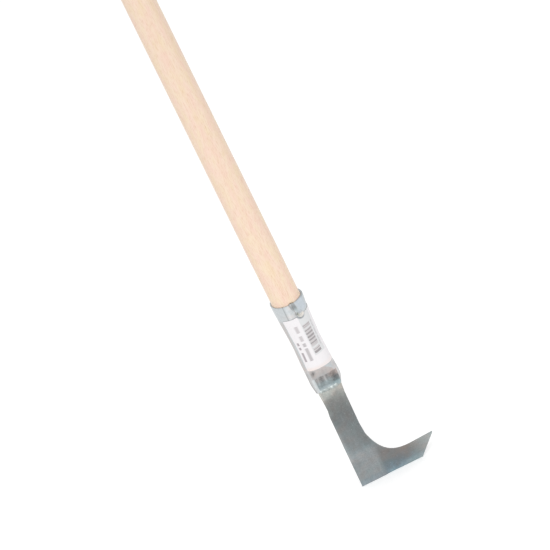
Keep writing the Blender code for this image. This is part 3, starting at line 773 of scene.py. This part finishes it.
def makeWeld(name, node, side, seed, material):
    # an ellipse carried along the joint, swollen by lumps and by crescents that lag at the middle
    w = weldShape
    along = np.linspace(-1, 1, w["rows"])[:, None]
    angle = np.linspace(0, 2 * math.pi, w["columns"], endpoint=False)[None]
    x = along * w["halfLength"]
    taper = np.sqrt(np.clip(1 - np.abs(along) ** w["bluntness"], 0, 1))
    bright = sum(gain * bump(x + side * at, wide) for at, wide, gain in w["drops"]) + 0 * angle
    lump = 1 + w["lumps"] * (waviness(seed, 5.5, x) + bright)
    lump = lump + w["fineLumps"] * waviness(seed + 1, 2, x, angle)
    lagged = x + w["rippleLag"] * np.cos(angle) ** 2 + w["rippleWander"] * waviness(seed + 2, 6, x)
    swell = w["rippleDepth"] * (1 - np.abs(np.sin(math.pi * lagged / w["ripple"]))) ** w["rippleCurve"]
    tall, deep = [taper * (w[key] * lump - swell) for key in ("halfHeight", "halfDepth")]
    y = side * (w["centreY"] + w["flatness"] * deep * np.cos(angle))
    z = socketFoot + w["overFoot"] + w["wander"] * waviness(seed + 3, 9, x) + tall * np.sin(angle)
    grid = np.stack([x + 0 * angle, y, z], axis=-1)
    dress(makeTurned(name, grid, material, 60, {"bright": bright}), "weld_metal", node)


# Countersunk screw

screwShape = {
    "headRadius": 3.4,
    "proud": 0.5,
    "tilt": math.radians(6.5),
    "rim": 0.3,
    "rimBreak": 0.18,
    "crown": 0.12,
    "recessWidth": 1.31,
    "recessSoft": 0.15,
    "recessSpan": 4.8,
    "recessDepth": 0.6,
    "recessTurn": math.radians(20),
    "shankRadius": 2.0,
    "rootRadius": 1.45,
    "length": 22,
    "tipLength": 5,
    "pitch": 1.8,
    "columns": 96,
}


def makeScrew(material):
    # turned rows from the recess out over the head, down its cone and along a threaded shank
    k = screwShape
    angle = np.linspace(0, 2 * math.pi, k["columns"], endpoint=False)[None]
    top = np.linspace(0, k["headRadius"] - 0.12, 44)[:, None]
    depth = 0
    for arm in (0, math.pi / 2):
        a, b = [np.abs(top * turned(angle - k["recessTurn"] + arm)) for turned in (np.cos, np.sin)]
        wall = between(b, k["recessWidth"] / 2 + k["recessSoft"], k["recessWidth"] / 2 - k["recessSoft"])
        floor = np.clip(1.15 - a / (k["recessSpan"] / 2), 0, 0.75) / 0.75
        depth = np.maximum(depth, k["recessDepth"] * wall * floor)
    height = k["proud"] - k["crown"] * (top / k["headRadius"]) ** 2 - depth
    neck = k["proud"] - k["rim"] - (k["headRadius"] - k["shankRadius"])
    foot = k["proud"] - k["length"]
    edge = np.array([(k["headRadius"], k["proud"] - k["rimBreak"]), (k["headRadius"], k["proud"] - k["rim"]),
                     (k["shankRadius"], neck)])
    down = np.linspace(neck - 0.3, foot, 90)[:, None]
    envelope = np.interp(down, [foot, foot + k["tipLength"]], [0.02, 1])
    ridge = np.abs(((down / k["pitch"] + angle / (2 * math.pi)) % 1) - 0.5) * 2
    shank = envelope * (k["rootRadius"] + (k["shankRadius"] - k["rootRadius"]) * ridge ** 3)
    shank[-1] = 0
    radius = np.concatenate([top + 0 * angle, edge[:, :1] + 0 * angle, shank])
    out = np.concatenate([height, edge[:, 1:] + 0 * angle, down + 0 * angle])
    side, level = radius * np.cos(angle), radius * np.sin(angle)
    bearing = screwPlace["bearing"]
    # from the screw's own axis: turned down by the tilt, then carried out to the sheet
    sine, cosine = math.sin(k["tilt"]), math.cos(k["tilt"])
    reach = boreRadius(screwPlace["drop"]) + socketShape["sheet"] + out * cosine - level * sine
    x = reach * math.sin(bearing) + side * math.cos(bearing)
    y = -reach * math.cos(bearing) + side * math.sin(bearing)
    z = mouthHeight - screwPlace["drop"] + level * cosine + out * sine
    # painted shade darkens the head towards the V, its upper part is bluish, and its lower right carries a
    # painted highlight
    head = out > neck
    tones = {
        "dirt": head * blot(side, -level, -2.8, -1.2, 1.2, 1.8),
        "upper": head * between(level, -0.6, 1.4),
        "rubbed": head * blot(side, -level, 1.3, 1.4, 2.5, 1.2, 20),
    }
    screw = makeTurned("socketScrew", np.stack([x, y, z], axis=-1), material, 40, tones)
    dress(screw, "yellow_zinc_screw", "socket_screw")


# Paper label

labelShape = {
    "topDrop": 15.1,
    "topSlant": 0.7,
    "topSlantAlong": (2, 22),
    "bottomDrop": 71.8,
    "bottomSlant": 0.9,
    "bottomSlantAlong": (12, 26),
    "left": math.radians(-49),
    "right": math.radians(150),
    "cornerRadius": 1.2,
    "gap": 0.16,
    "paper": 0.12,
    "notch": 3.7,
    "bridgeDepth": 0.1,
    "wrinkles": 0.05,
    "edgeCurl": 0.12,
    "edgeWidth": 0.8,
    # millimetres along the label to a unit of its UV map
    "mapUnit": 100,
    "columns": 150,
    "rows": 84,
}


def makeLabel(material):
    # a sheet over the socket's skin. Its top edge dips round the screw's head, and its corners are rounded
    l = labelShape
    fine = np.linspace(l["topDrop"] - 1, l["bottomDrop"] + 2, 121)
    skin = socketSkin(fine, socketShape["sheet"], folded=False)
    around = np.unwrap(np.arctan2(skin[..., 0], -skin[..., 1]), axis=1)
    bearing = np.linspace(l["left"], l["right"], l["columns"])
    reach = np.stack([np.interp(bearing, np.concatenate([turn - 2 * math.pi, turn]), np.tile(distance, 2))
                      for turn, distance in zip(around, np.hypot(skin[..., 0], skin[..., 1]))])
    middle = reach[len(fine) // 2]
    steps = np.hypot(np.gradient(bearing) * middle, np.gradient(middle))
    along = np.cumsum(steps) - steps[0]
    fromSide = np.minimum(along, along[-1] - along)
    inset = np.clip(l["cornerRadius"] - fromSide, 0, None)
    corner = l["cornerRadius"] - np.sqrt(np.clip(l["cornerRadius"] ** 2 - inset ** 2, 0, None))
    fromScrew = np.abs(along - np.interp(screwPlace["bearing"], bearing, along))
    notch = screwPlace["drop"] + np.sqrt(np.clip(l["notch"] ** 2 - fromScrew ** 2, 0, None))
    top = l["topDrop"] + corner - l["topSlant"] * between(along, *l["topSlantAlong"])
    top = np.maximum(top, notch * (fromScrew < l["notch"]))
    bottom = l["bottomDrop"] - corner + l["bottomSlant"] * between(along, *l["bottomSlantAlong"])
    drop = top + (bottom - top) * np.linspace(0, 1, l["rows"])[:, None]
    along = along[None] + 0 * drop
    # the socket's reach at each point, straight between the fine rows
    spot = (drop - fine[0]) / (fine[1] - fine[0])
    low = np.clip(np.floor(spot).astype(int), 0, len(fine) - 2)
    column = np.arange(l["columns"])[None] + 0 * low
    radius = reach[low, column] * (1 - spot + low) + reach[low + 1, column] * (spot - low)
    seam = bump(radius * np.sin(bearing) - seamX(drop), 0.5) * (np.cos(bearing) > 0)
    fromEdge = np.minimum(np.minimum(drop - top, bottom - drop), fromSide[None])
    lift = l["wrinkles"] * (1 + waviness(41, 16, along, drop)) - l["bridgeDepth"] * seam
    lift = lift + l["edgeCurl"] * bump(fromEdge, l["edgeWidth"]) * waviness(43, 20, along, drop)
    inner = radius + l["gap"] + np.maximum(lift, -0.1)
    faces = [np.stack([r * np.sin(bearing), -r * np.cos(bearing), mouthHeight - drop], axis=-1)
             for r in (inner + l["paper"], inner)]
    plane = np.stack([along, drop - l["topDrop"]], axis=-1) / l["mapUnit"]
    dress(makeWall("paperLabel", *faces, material, 60, plane), "label_paper", "label")


# Finishes

def ashWood():
    # ash, turned and sanded, bare: pale cream, with faint growth bands, fine straight lines of pores, and
    # soft patches that lean to pink or straw; the sanded nap pales it towards the edges
    pale, body, band, pore, pink, straw = "#fbe4cf", "#f9dfc8", "#f6dac2", "#dfb592", "#fad6c8", "#f7e3be"
    material, shader, add = newMaterial("turnedAshWood")
    place = add("TexCoord").outputs["Object"]
    # growth bands 12 mm apart, round a pith beside the handle and drifting a little: a wave comes round
    # 3.2 times in a cell
    slow = add("Mapping", {"Scale": (1, 1, 0.12), "Rotation": (0.02, 0.035, 0), "Vector": place})
    drift = add("TexNoise", {"Scale": cells(71.43), "Detail": 2, "Vector": slow}).outputs["Color"]
    pith = add("VectorMath", {"operation": "ADD", 0: slow, 1: (0.055, 0.02, 0)})
    drifted = add("VectorMath", {"operation": "MULTIPLY_ADD", 0: drift, 1: (0.006, 0.006, 0), 2: pith})
    rings = add("TexWave", {
        "wave_type": "RINGS", "rings_direction": "Z", "wave_profile": "SIN", "Scale": cells(38),
        "Distortion": 1.2, "Detail": 2, "Detail Scale": 2.0, "Vector": drifted})
    pores = grain(add, place, (0.45, 0.45, 6), {"Detail": 3, "Roughness": 0.6})
    streaks = grain(add, place, (2.381, 2.381, 29.41), {"Detail": 4, "Roughness": 0.6})
    patches = grain(add, place, (5.882, 5.882, 16.13), {"Detail": 3})
    banded = add("ValToRGB", {
        "Fac": rings.outputs["Fac"], "stops": [(0.0, band), (0.35, body), (1.0, pale)]})
    patched = add("ValToRGB", {"Fac": patches, "stops": [(0.36, pink), (0.5, body), (0.64, straw)]})
    leaned = add("Mix", {"data_type": "RGBA", 0: 0.5, 6: banded, 7: patched})
    streakShare = add("MapRange", {"From": (0.42, 0.66), "To": (0, 0.45), "Value": streaks})
    mixed = add("Mix", {"data_type": "RGBA", 0: streakShare, 6: leaned, 7: pale})
    poreShare = add("MapRange", {"From": (0.5, 0.74), "To": (0, 0.7), "Value": pores})
    pored = add("Mix", {"data_type": "RGBA", 0: poreShare, 6: mixed, 7: pore})
    # cleaner towards the socket, where hands don't reach
    height = add("SeparateXYZ", {"Vector": place}).outputs["Z"]
    clean = add("MapRange", {"From": (0.56, 0.25), "To": (0.965, 1.045), "Value": height})
    setNode(shader, {
        "Base Color": add("VectorMath", {"operation": "SCALE", 0: pored, "Scale": clean}),
        "Roughness": add("MapRange", {"To": (0.45, 0.62), "Value": streaks}),
        "Normal": add("Bump", {"invert": True, "Strength": 0.35, "Distance": 0.06 * mm, "Height": pores}),
        "Specular IOR Level": 0.45, "Sheen Weight": 0.38, "Sheen Roughness": 0.35})
    return material


def zincSheet():
    # mild steel sheet, rolled and bright zinc plated: cool light grey, with painted shade in its folds and
    # over its end and painted highlights on its bright strips, and on its end the straw, brown and
    # blue-green that the weld's heat leaves, from the tones worked out with the shape
    material, shader, add = newMaterial("brightZincPlatedSheet")
    place = add("TexCoord").outputs["Object"]
    shade, warm, cool, blue = [add("Attribute", {"attribute_name": name}).outputs["Fac"]
                               for name in ("shade", "warm", "cool", "blue")]
    cloud = add("TexNoise", {"Scale": cells(4.348), "Detail": 4, "Roughness": 0.6, "Vector": place})
    blotch = add("TexNoise", {"Scale": cells(2.381), "Detail": 3, "Vector": place})
    # straw and blue-green come and go with clouds 4 mm wide
    patchy = add("MapRange", {"From": (0.3, 0.7), "To": (0.6, 1.4), "Value": cloud})
    tinted = "#c5cacc"
    for share, tint in ((warm, "#d5c8c3"), (cool, "#b6cdd2")):
        patched = add("Math", {"operation": "MULTIPLY", 0: share, 1: patchy})
        tinted = add("Mix", {"data_type": "RGBA", "clamp_factor": True, 0: patched, 6: tinted, 7: tint})
    blued = add("Mix", {"data_type": "RGBA", "clamp_factor": True, 0: blue, 6: tinted, 7: "#bbc6d2"})
    # light and dark runs down the pressed sheet, about 1 mm wide
    runs = grain(add, place, (1.111, 1.111, 7.692), {"Detail": 3})
    # the runs show most where the painted shade is darkest
    shaded = add("MapRange", {"From": (0.75, 0.5), "Value": shade})
    runDepth = add("MapRange", {"From": (0.3, 0.7), "To": (-0.28, 0.28), "Value": runs})
    mottle = add("MapRange", {"From": (0.3, 0.7), "To": (0.94, 1.06), "Value": blotch})
    mottled = add("Math", {"operation": "MULTIPLY_ADD", 0: runDepth, 1: shaded, 2: mottle})
    level = add("Math", {"operation": "MULTIPLY", 0: mottled, 1: shade})
    rolling = grain(add, place, (0.3846, 0.3846, 16.67), {"Detail": 2})
    lines = add("Bump", {"Strength": 0.12, "Distance": 0.03 * mm, "Height": rolling})
    setNode(shader, {
        "Base Color": add("VectorMath", {"operation": "SCALE", 0: blued, "Scale": level}),
        "Roughness": add("MapRange", {"To": (0.26, 0.44), "Value": blotch}),
        "Normal": add("Bump", {"Strength": 0.25, "Distance": 0.12 * mm, "Height": cloud, "Normal": lines}),
        "Metallic": 1})
    return material


def groundSteel():
    # carbon steel plate, hardened and ground, thinly plated: mid grey, mottled, olive by the weld, browner
    # over the hook and blue-green along its edge
    material, shader, add = newMaterial("groundCarbonSteel")
    place = add("TexCoord").outputs["Object"]
    across, _, up = add("SeparateXYZ", {"Vector": place}).outputs
    cloud = add("TexNoise", {"Scale": cells(7.692), "Detail": 5, "Roughness": 0.62, "Vector": place})
    speck = add("TexNoise", {"Scale": cells(1.111), "Detail": 3, "Roughness": 0.7, "Vector": place})
    # the height, raised by up to 14 mm by the clouds, so that the tones' borders wander
    wander = add("Math", {"operation": "MULTIPLY_ADD", 0: cloud, 1: 14 * mm, 2: up})
    # the pale patch by the weld reaches lower on its left
    byWeld = add("MapRange", {"From": (90 * mm, 98 * mm), "To": (0, -0.17), "Value": wander})
    tilted = add("Math", {"operation": "MULTIPLY_ADD", 0: byWeld, 1: across, 2: wander})
    shankLevel = add("MapRange", {"From": (7 * mm, 113 * mm), "Value": tilted})
    shank = add("ValToRGB", {"Fac": shankLevel, "stops": [
        (0.0, "#9ea5ab"), (0.014, "#9aa3a8"), (0.043, "#939ba0"), (0.065, "#999ea0"), (0.29, "#989c9e"),
        (0.335, "#8d9497"), (0.365, "#868c8e"), (0.45, "#828687"), (0.7, "#7c8081"), (0.80, "#7f8180"),
        (0.86, "#868786"), (0.89, "#8e8e8c"), (0.922, "#9b9c99"), (0.948, "#b3b3af"), (1.0, "#bbbcb7")]})
    hookLevel = add("MapRange", {"From": (7 * mm, 33 * mm), "Value": wander})
    hook = add("ValToRGB", {"Fac": hookLevel, "stops": [
        (0.0, "#99aeb4"), (0.054, "#98abb3"), (0.173, "#8a9aa2"), (0.29, "#838d92"), (0.41, "#84898b"),
        (0.53, "#888a8b"), (0.62, "#8b8a88"), (1.0, "#8d8a88")]})
    # the hook leans to blue at its root and to brown in the middle, and is paler at its tip
    alongHook = add("MapRange", {"From": (16 * mm, 42 * mm), "Value": across})
    leaning = add("ValToRGB", {"Fac": alongHook, "stops": [
        (0.0, "#f2f5f8"), (0.45, "#f0f2f5"), (0.8, "#fff6f3"), (1.0, "#fff8f5")]})
    leaned = add("VectorMath", {"operation": "MULTIPLY", 0: hook, 1: leaning})
    hookAcross = add("MapRange", {
        "interpolation_type": "SMOOTHSTEP", "From": (9.5 * mm, 15.5 * mm), "Value": across})
    hookUp = add("MapRange", {"From": (33 * mm, 45 * mm), "To": (1, 0), "Value": wander})
    onHook = add("Math", {"operation": "MULTIPLY", 0: hookAcross, 1: hookUp})
    joined = add("Mix", {"data_type": "RGBA", 0: onHook, 6: shank, 7: leaned})
    atTip = add("MapRange", {"From": (41 * mm, 62 * mm), "Value": across})
    tipped = add("Mix", {"data_type": "RGBA", 0: atTip, 6: joined, 7: "#a9aeae"})
    # stains several millimetres across, rusty here and greenish there
    stain = add("TexNoise", {"Scale": cells(8.333), "Detail": 2, "Roughness": 0.5, "Vector": place})
    stained = add("ValToRGB", {
        "Fac": stain, "stops": [(0.34, "#f4faf9"), (0.5, "#f9fafa"), (0.66, "#fcf7f4")]})
    tinted = add("VectorMath", {"operation": "MULTIPLY", 0: tipped, 1: stained})
    # specks, scuffs 2 mm wide along the shank, and the wheel's lines, drawn 0.4 mm apart so that they show
    specked = add("MapRange", {"From": (0.3, 0.7), "To": (0.86, 1.12), "Value": speck})
    scuffs = grain(add, place, (2.083, 2.083, 9.091), {"Detail": 3, "Roughness": 0.6})
    scuffDepth = add("MapRange", {"To": (0.34, 0.12), "Value": onHook})
    centred = add("Math", {"operation": "SUBTRACT", 0: scuffs, 1: 0.5})
    scuffed = add("Math", {"operation": "MULTIPLY_ADD", 0: centred, 1: scuffDepth, 2: 1})
    wheelLines = grain(add, place, (6.667, 6.667, 0.4), {"Detail": 3})
    lined = add("MapRange", {"From": (0.3, 0.7), "To": (0.95, 1.05), "Value": wheelLines})
    level = specked
    for factor in (scuffed, lined):
        level = add("Math", {"operation": "MULTIPLY", 0: level, 1: factor})
    # painted highlights: along the middle of the shank the left side is paler than the right, and its margin
    # paler still
    risen = add("MapRange", {
        "interpolation_type": "SMOOTHSTEP", "From": (31 * mm, 40 * mm), "Value": wander})
    fallen = add("MapRange", {"From": (66 * mm, 82 * mm), "To": (1, 0), "Value": wander})
    midShank = add("Math", {"operation": "MULTIPLY", 0: risen, 1: fallen})
    paler = add("MapRange", {
        "From": (-11 * mm, 10 * mm), "To": (0.17, -0.05), "Value": across})
    margin = add("MapRange", {
        "From": (-11.2 * mm, -9.2 * mm), "To": (0.2, 0), "Value": across})
    onShank = add("Math", {"operation": "MULTIPLY", 0: paler, 1: midShank})
    rubbed = add("Math", {"operation": "MULTIPLY_ADD", 0: margin, 1: risen, 2: onShank})
    raised = add("Math", {"operation": "ADD", 0: level, 1: rubbed})
    spots = add("Attribute", {"attribute_name": "spots"}).outputs["Fac"]
    spotted = add("Math", {"operation": "MULTIPLY", 0: raised, 1: spots})
    shade = add("VectorMath", {"operation": "SCALE", 0: tinted, "Scale": spotted})
    # short bright scratches, 3 mm long and drawn wide enough to show
    scratches = grain(add, place, (0.5263, 0.5263, 3.03), {"Detail": 1}, turn=(0, 0.5, 0))
    glint = add("MapRange", {"From": (0.68, 0.78), "To": (0, 0.34), "Value": scratches})
    grinding = grain(add, place, (3.846, 3.846, 0.1923), {"Detail": 3})
    lines = add("Bump", {"Strength": 0.2, "Distance": 0.04 * mm, "Height": grinding})
    setNode(shader, {
        "Base Color": add("Mix", {"data_type": "RGBA", 0: glint, 6: shade, 7: "#c9d1d2"}),
        "Roughness": add("MapRange", {"To": (0.3, 0.55), "Value": speck}),
        "Normal": add("Bump", {"Strength": 0.3, "Distance": 0.15 * mm, "Height": cloud, "Normal": lines}),
        "Metallic": 1})
    return material


def weldMetal():
    # arc weld metal, plated over: paler than the blade, satin, with painted glints on its drops
    material, shader, add = newMaterial("platedWeldMetal")
    place = add("TexCoord").outputs["Object"]
    cloud = add("TexNoise", {"Scale": cells(3.448), "Detail": 3, "Roughness": 0.6, "Vector": place})
    dull = add("ValToRGB", {"Fac": cloud, "stops": [(0.34, "#899190"), (0.5, "#9ea6a5"), (0.64, "#b7bfbd")]})
    bright = add("Attribute", {"attribute_name": "bright"}).outputs["Fac"]
    setNode(shader, {
        "Base Color": add("Mix", {
            "data_type": "RGBA", "clamp_factor": True, 0: bright, 6: dull, 7: "#e6eeec"}),
        "Roughness": add("MapRange", {"To": (0.28, 0.5), "Value": cloud}),
        "Normal": add("Bump", {"Strength": 0.4, "Distance": 0.12 * mm, "Height": cloud}),
        "Metallic": 1})
    return material


def yellowZinc():
    # cold-headed steel, thinly yellow zinc plated: pale warm grey with a faint straw and pink play
    material, shader, add = newMaterial("yellowZincPlatedSteel")
    place = add("TexCoord").outputs["Object"]
    cloud = add("TexNoise", {"Scale": cells(1.4286), "Detail": 3, "Vector": place})
    tint = add("ValToRGB", {"Fac": cloud, "stops": [(0.3, "#c8c7c2"), (0.5, "#cecdc9"), (0.7, "#cbc8c2")]})
    # the head's bluish upper part, its painted shade towards the V and the painted highlight on its lower
    # right
    for name, color in (("upper", "#bcc1c6"), ("dirt", "#a3a598"), ("rubbed", "#e4dfd8")):
        share = add("Attribute", {"attribute_name": name}).outputs["Fac"]
        tint = add("Mix", {"data_type": "RGBA", 0: share, 6: tint, 7: color})
    setNode(shader, {
        "Base Color": tint,
        "Roughness": add("MapRange", {"To": (0.25, 0.4), "Value": cloud}),
        "Normal": add("Bump", {"Strength": 0.2, "Distance": 0.03 * mm, "Height": cloud}),
        "Metallic": 1})
    return material


labelPrint = {
    "white": "#fbf8fa",
    "panel": "#e9eaeb",
    "panelAlong": (13.2, 25.8),
    "panelDown": (-2, 43.6),
    # the painted shadow under the screw's head
    "screwShadow": "#aaaeb2",
    "screwShadowAt": (17.3, -1.2, 0),
    "screwShadowRadius": 4.4,
    "screwShadowSoft": 0.9,
    "screwShadowFades": (18.5, 20.5),
    "stain": "#fbe8df",
    "stainDown": (52.5, 56.7),
    "stainAlong": (22, 6),
    "length": 50,
    # print, laid in this order: colour, where it lies along the label, how soft its ends are there, and from
    # where to where each bar or greeked word goes down it. The first are bars too fine to show one by one
    "print": [
        ("#d7d3d4", (14.0, 21.3), 0.25, [(9.7, 13.8), (14.8, 34.2), (36.0, 41.8)]),
        ("#b3acae", (14.0, 21.3), 0.25, [(10.5, 11.2), (12.2, 12.6), (31.9, 32.2), (37.4, 38.0)]),
        ("#a9a4a6", (14.0, 21.3), 0.25, [
            (16.0, 16.9), (19.1, 20.7), (22.6, 24.5), (26.1, 27.7), (30.0, 31.2), (39.4, 41.6)]),
        ("#d8d3d5", (7.0, 9.9), 1.2, [(7.9, 15.5), (19.1, 24.9)]),
        ("#b7afb3", (2.1, 4.2), 0.8, [(25.4, 28.8), (30.5, 33.4), (36.6, 46.6)]),
        ("#d5d0d3", (23.2, 24.2), 0.4, [
            (10.0, 13.2), (13.9, 17.6), (19.4, 26.4), (28.2, 32.0), (32.8, 37.6)]),
        ("#cbc7c9", (7.0, 9.9), 1.2, [(27.2, 31.2), (33.0, 46.7)]),
    ],
}


def labelPaper():
    # coated label paper, printed: soft white, a greyer panel with plain bars, and columns of grey dashes
    p = labelPrint
    material, shader, add = newMaterial("printedLabelPaper")
    # along and down the label in millimetres
    sheet = add("UVMap", {"uv_map": "sheetPlane"})
    plane = add("VectorMath", {"operation": "SCALE", "Scale": labelShape["mapUnit"], 0: sheet})
    along, down, _ = add("SeparateXYZ", {"Vector": plane}).outputs

    def inside(value, low, high, soft=0.25):
        # 1 between low and high, by two soft steps
        half = soft / 2
        rise = add("MapRange", {"From": (low - half, low + half), "Value": value})
        fall = add("MapRange", {
            "From": (high - half, high + half), "To": (1, 0), "Value": value})
        return add("Math", {"operation": "MULTIPLY", 0: rise, 1: fall})

    # under the print lie the panel, the painted shadow under the screw's head and, along the bottom edge,
    # glue and dirt
    panel = [inside(along, *p["panelAlong"]), inside(down, *p["panelDown"])]
    fromScrew = add("VectorMath", {"operation": "DISTANCE", 0: plane, 1: p["screwShadowAt"]})
    leftOfScrew = add("MapRange", {"From": p["screwShadowFades"], "To": (1, 0.3), "Value": along})
    screwShadow = [inside(fromScrew.outputs["Value"], -1, p["screwShadowRadius"], p["screwShadowSoft"]), leftOfScrew]
    byEdge = add("MapRange", {"From": p["stainDown"], "To": (0, 0.75), "Value": down})
    leftwards = add("MapRange", {"From": p["stainAlong"], "To": (0.45, 1), "Value": along})
    layers = [(p["panel"], panel), (p["screwShadow"], screwShadow), (p["stain"], [byEdge, leftwards])]
    for color, ends, soft, stretches in p["print"]:
        # a ramp of flat steps, 1 on each stretch and 0 between them
        stops = [(0, "#000000")]
        for start, end in stretches:
            stops += [(start / p["length"], "#ffffff"), (end / p["length"], "#000000")]
        share = add("Math", {"operation": "DIVIDE", 0: down, 1: p["length"]})
        steps = add("ValToRGB", {"Fac": share, "stops": stops})
        steps.color_ramp.interpolation = "CONSTANT"
        layers.append((color, [inside(along, *ends, soft), steps]))
    printed = p["white"]
    for color, (first, second) in layers:
        share = add("Math", {"operation": "MULTIPLY", "use_clamp": True, 0: first, 1: second})
        printed = add("Mix", {"data_type": "RGBA", 0: share, 6: printed, 7: color})
    place = add("TexCoord").outputs["Object"]
    fibre = add("TexNoise", {"Scale": cells(0.7692), "Detail": 3, "Vector": place})
    setNode(shader, {
        "Base Color": printed,
        "Roughness": 0.48,
        "Specular IOR Level": 0.4,
        "Normal": add("Bump", {"Strength": 0.08, "Distance": 0.03 * mm, "Height": fibre})})
    return material


# Stage, light and camera, in metres

studio = {
    "floorSize": 60,
    "floorDrop": 0.2 * mm,
    "floorColor": "#f4f4f4",
    "floorGlow": 0.28,
    "worldDiffuse": 0.78,
    "keySize": 2.2,
    "keyPower": 34,
    "keyPlace": (-0.35, -2.65, 2.9),
    "keyAim": (0, 0, 0.3),
}


def seenRays(add):
    # 1 for what the camera, a reflection or a clear pane sees
    rays = add("LightPath").outputs
    first = add("Math", {"operation": "MAXIMUM", 0: rays["Is Camera Ray"], 1: rays["Is Glossy Ray"]})
    return add("Math", {"operation": "MAXIMUM", 0: first, 1: rays["Is Transmission Ray"]})


def makeStage():
    c = studio
    material, shader, add = newMaterial("paleFloor")
    nodes = material.node_tree.nodes
    nodes.remove(shader)
    matt = add("BsdfDiffuse", {"Color": c["floorColor"]})
    strength = add("Math", {"operation": "MULTIPLY", 0: seenRays(add), 1: c["floorGlow"]})
    glow = add("Emission", {"Strength": strength})
    setNode(nodes["Material Output"], {"Surface": add("AddShader", {0: matt, 1: glow})})
    half = c["floorSize"] / 2
    mesh = bpy.data.meshes.new("studioFloor")
    corners = [(x * half, y * half, -c["floorDrop"]) for x, y in ((-1, -1), (1, -1), (1, 1), (-1, 1))]
    mesh.from_pydata(corners, [], [(0, 1, 2, 3)])
    mesh.materials.append(material)
    floor = addObject("studioFloor", mesh)
    world = bpy.data.worlds.new("studioWorld")
    world.use_nodes = True
    bpy.context.scene.world = world
    add = partial(addNode, world.node_tree)
    strength = add("MapRange", {"To": (c["worldDiffuse"], 1), "Value": seenRays(add)})
    setNode(world.node_tree.nodes["Background"], {"Color": (1, 1, 1, 1), "Strength": strength})


def makeLamp(name, size, power, place, target):
    # a disk that looks from its place at the target
    lamp = bpy.data.lights.new(name, "AREA")
    lamp.shape = "DISK"
    lamp.size = size
    lamp.energy = power
    holder = addObject(name, lamp)
    away = np.array(place) - np.array(target)
    holder.location = place
    flatAway = math.hypot(away[0], away[1])
    holder.rotation_euler = (math.atan2(flatAway, away[2]), 0, math.atan2(away[0], -away[1]))


picture = {
    "elevation": math.radians(28.5),
    "roll": math.radians(26.18),
    "distance": 6.5,
    "pixelsPerMetre": 1123.5,
    "imageWidth": 550,
    "sensorWidth": 36,
    "aim": (0.00085, 0, 0.2346),
    "farthest": 200,
}


def makeCamera():
    # looks at a point on the handle from the front and above, turned about its own line of sight
    c = picture
    up, roll = c["elevation"], c["roll"]
    forward = np.array([0, math.cos(up), -math.sin(up)])
    right = np.array([1.0, 0, 0])
    above = np.cross(right, forward)
    data = bpy.data.cameras.new("pictureCamera")
    data.sensor_width = c["sensorWidth"]
    data.lens = c["sensorWidth"] * c["pixelsPerMetre"] * c["distance"] / c["imageWidth"]
    data.clip_end = c["farthest"]
    matrix = np.eye(4)
    matrix[:3, 0] = math.cos(roll) * right - math.sin(roll) * above
    matrix[:3, 1] = math.sin(roll) * right + math.cos(roll) * above
    matrix[:3, 2] = -forward
    matrix[:3, 3] = np.array(c["aim"]) - c["distance"] * forward
    camera = addObject("pictureCamera", data)
    camera.matrix_world = Matrix(matrix.tolist())
    bpy.context.scene.camera = camera


bpy.context.scene.view_settings.view_transform = "Standard"
makeCamera()
makeStage()
makeLamp("keyLamp", studio["keySize"], studio["keyPower"], studio["keyPlace"], studio["keyAim"])
print("stage, lamp and camera placed")

makeHandle(ashWood())
makeSocket(zincSheet())
makeBlade(groundSteel())
weld = weldMetal()
makeWeld("weldBeadFront", "weld_front", -1, 50, weld)
makeWeld("weldBeadBack", "weld_back", 1, 60, weld)
makeScrew(yellowZinc())
makeLabel(labelPaper())
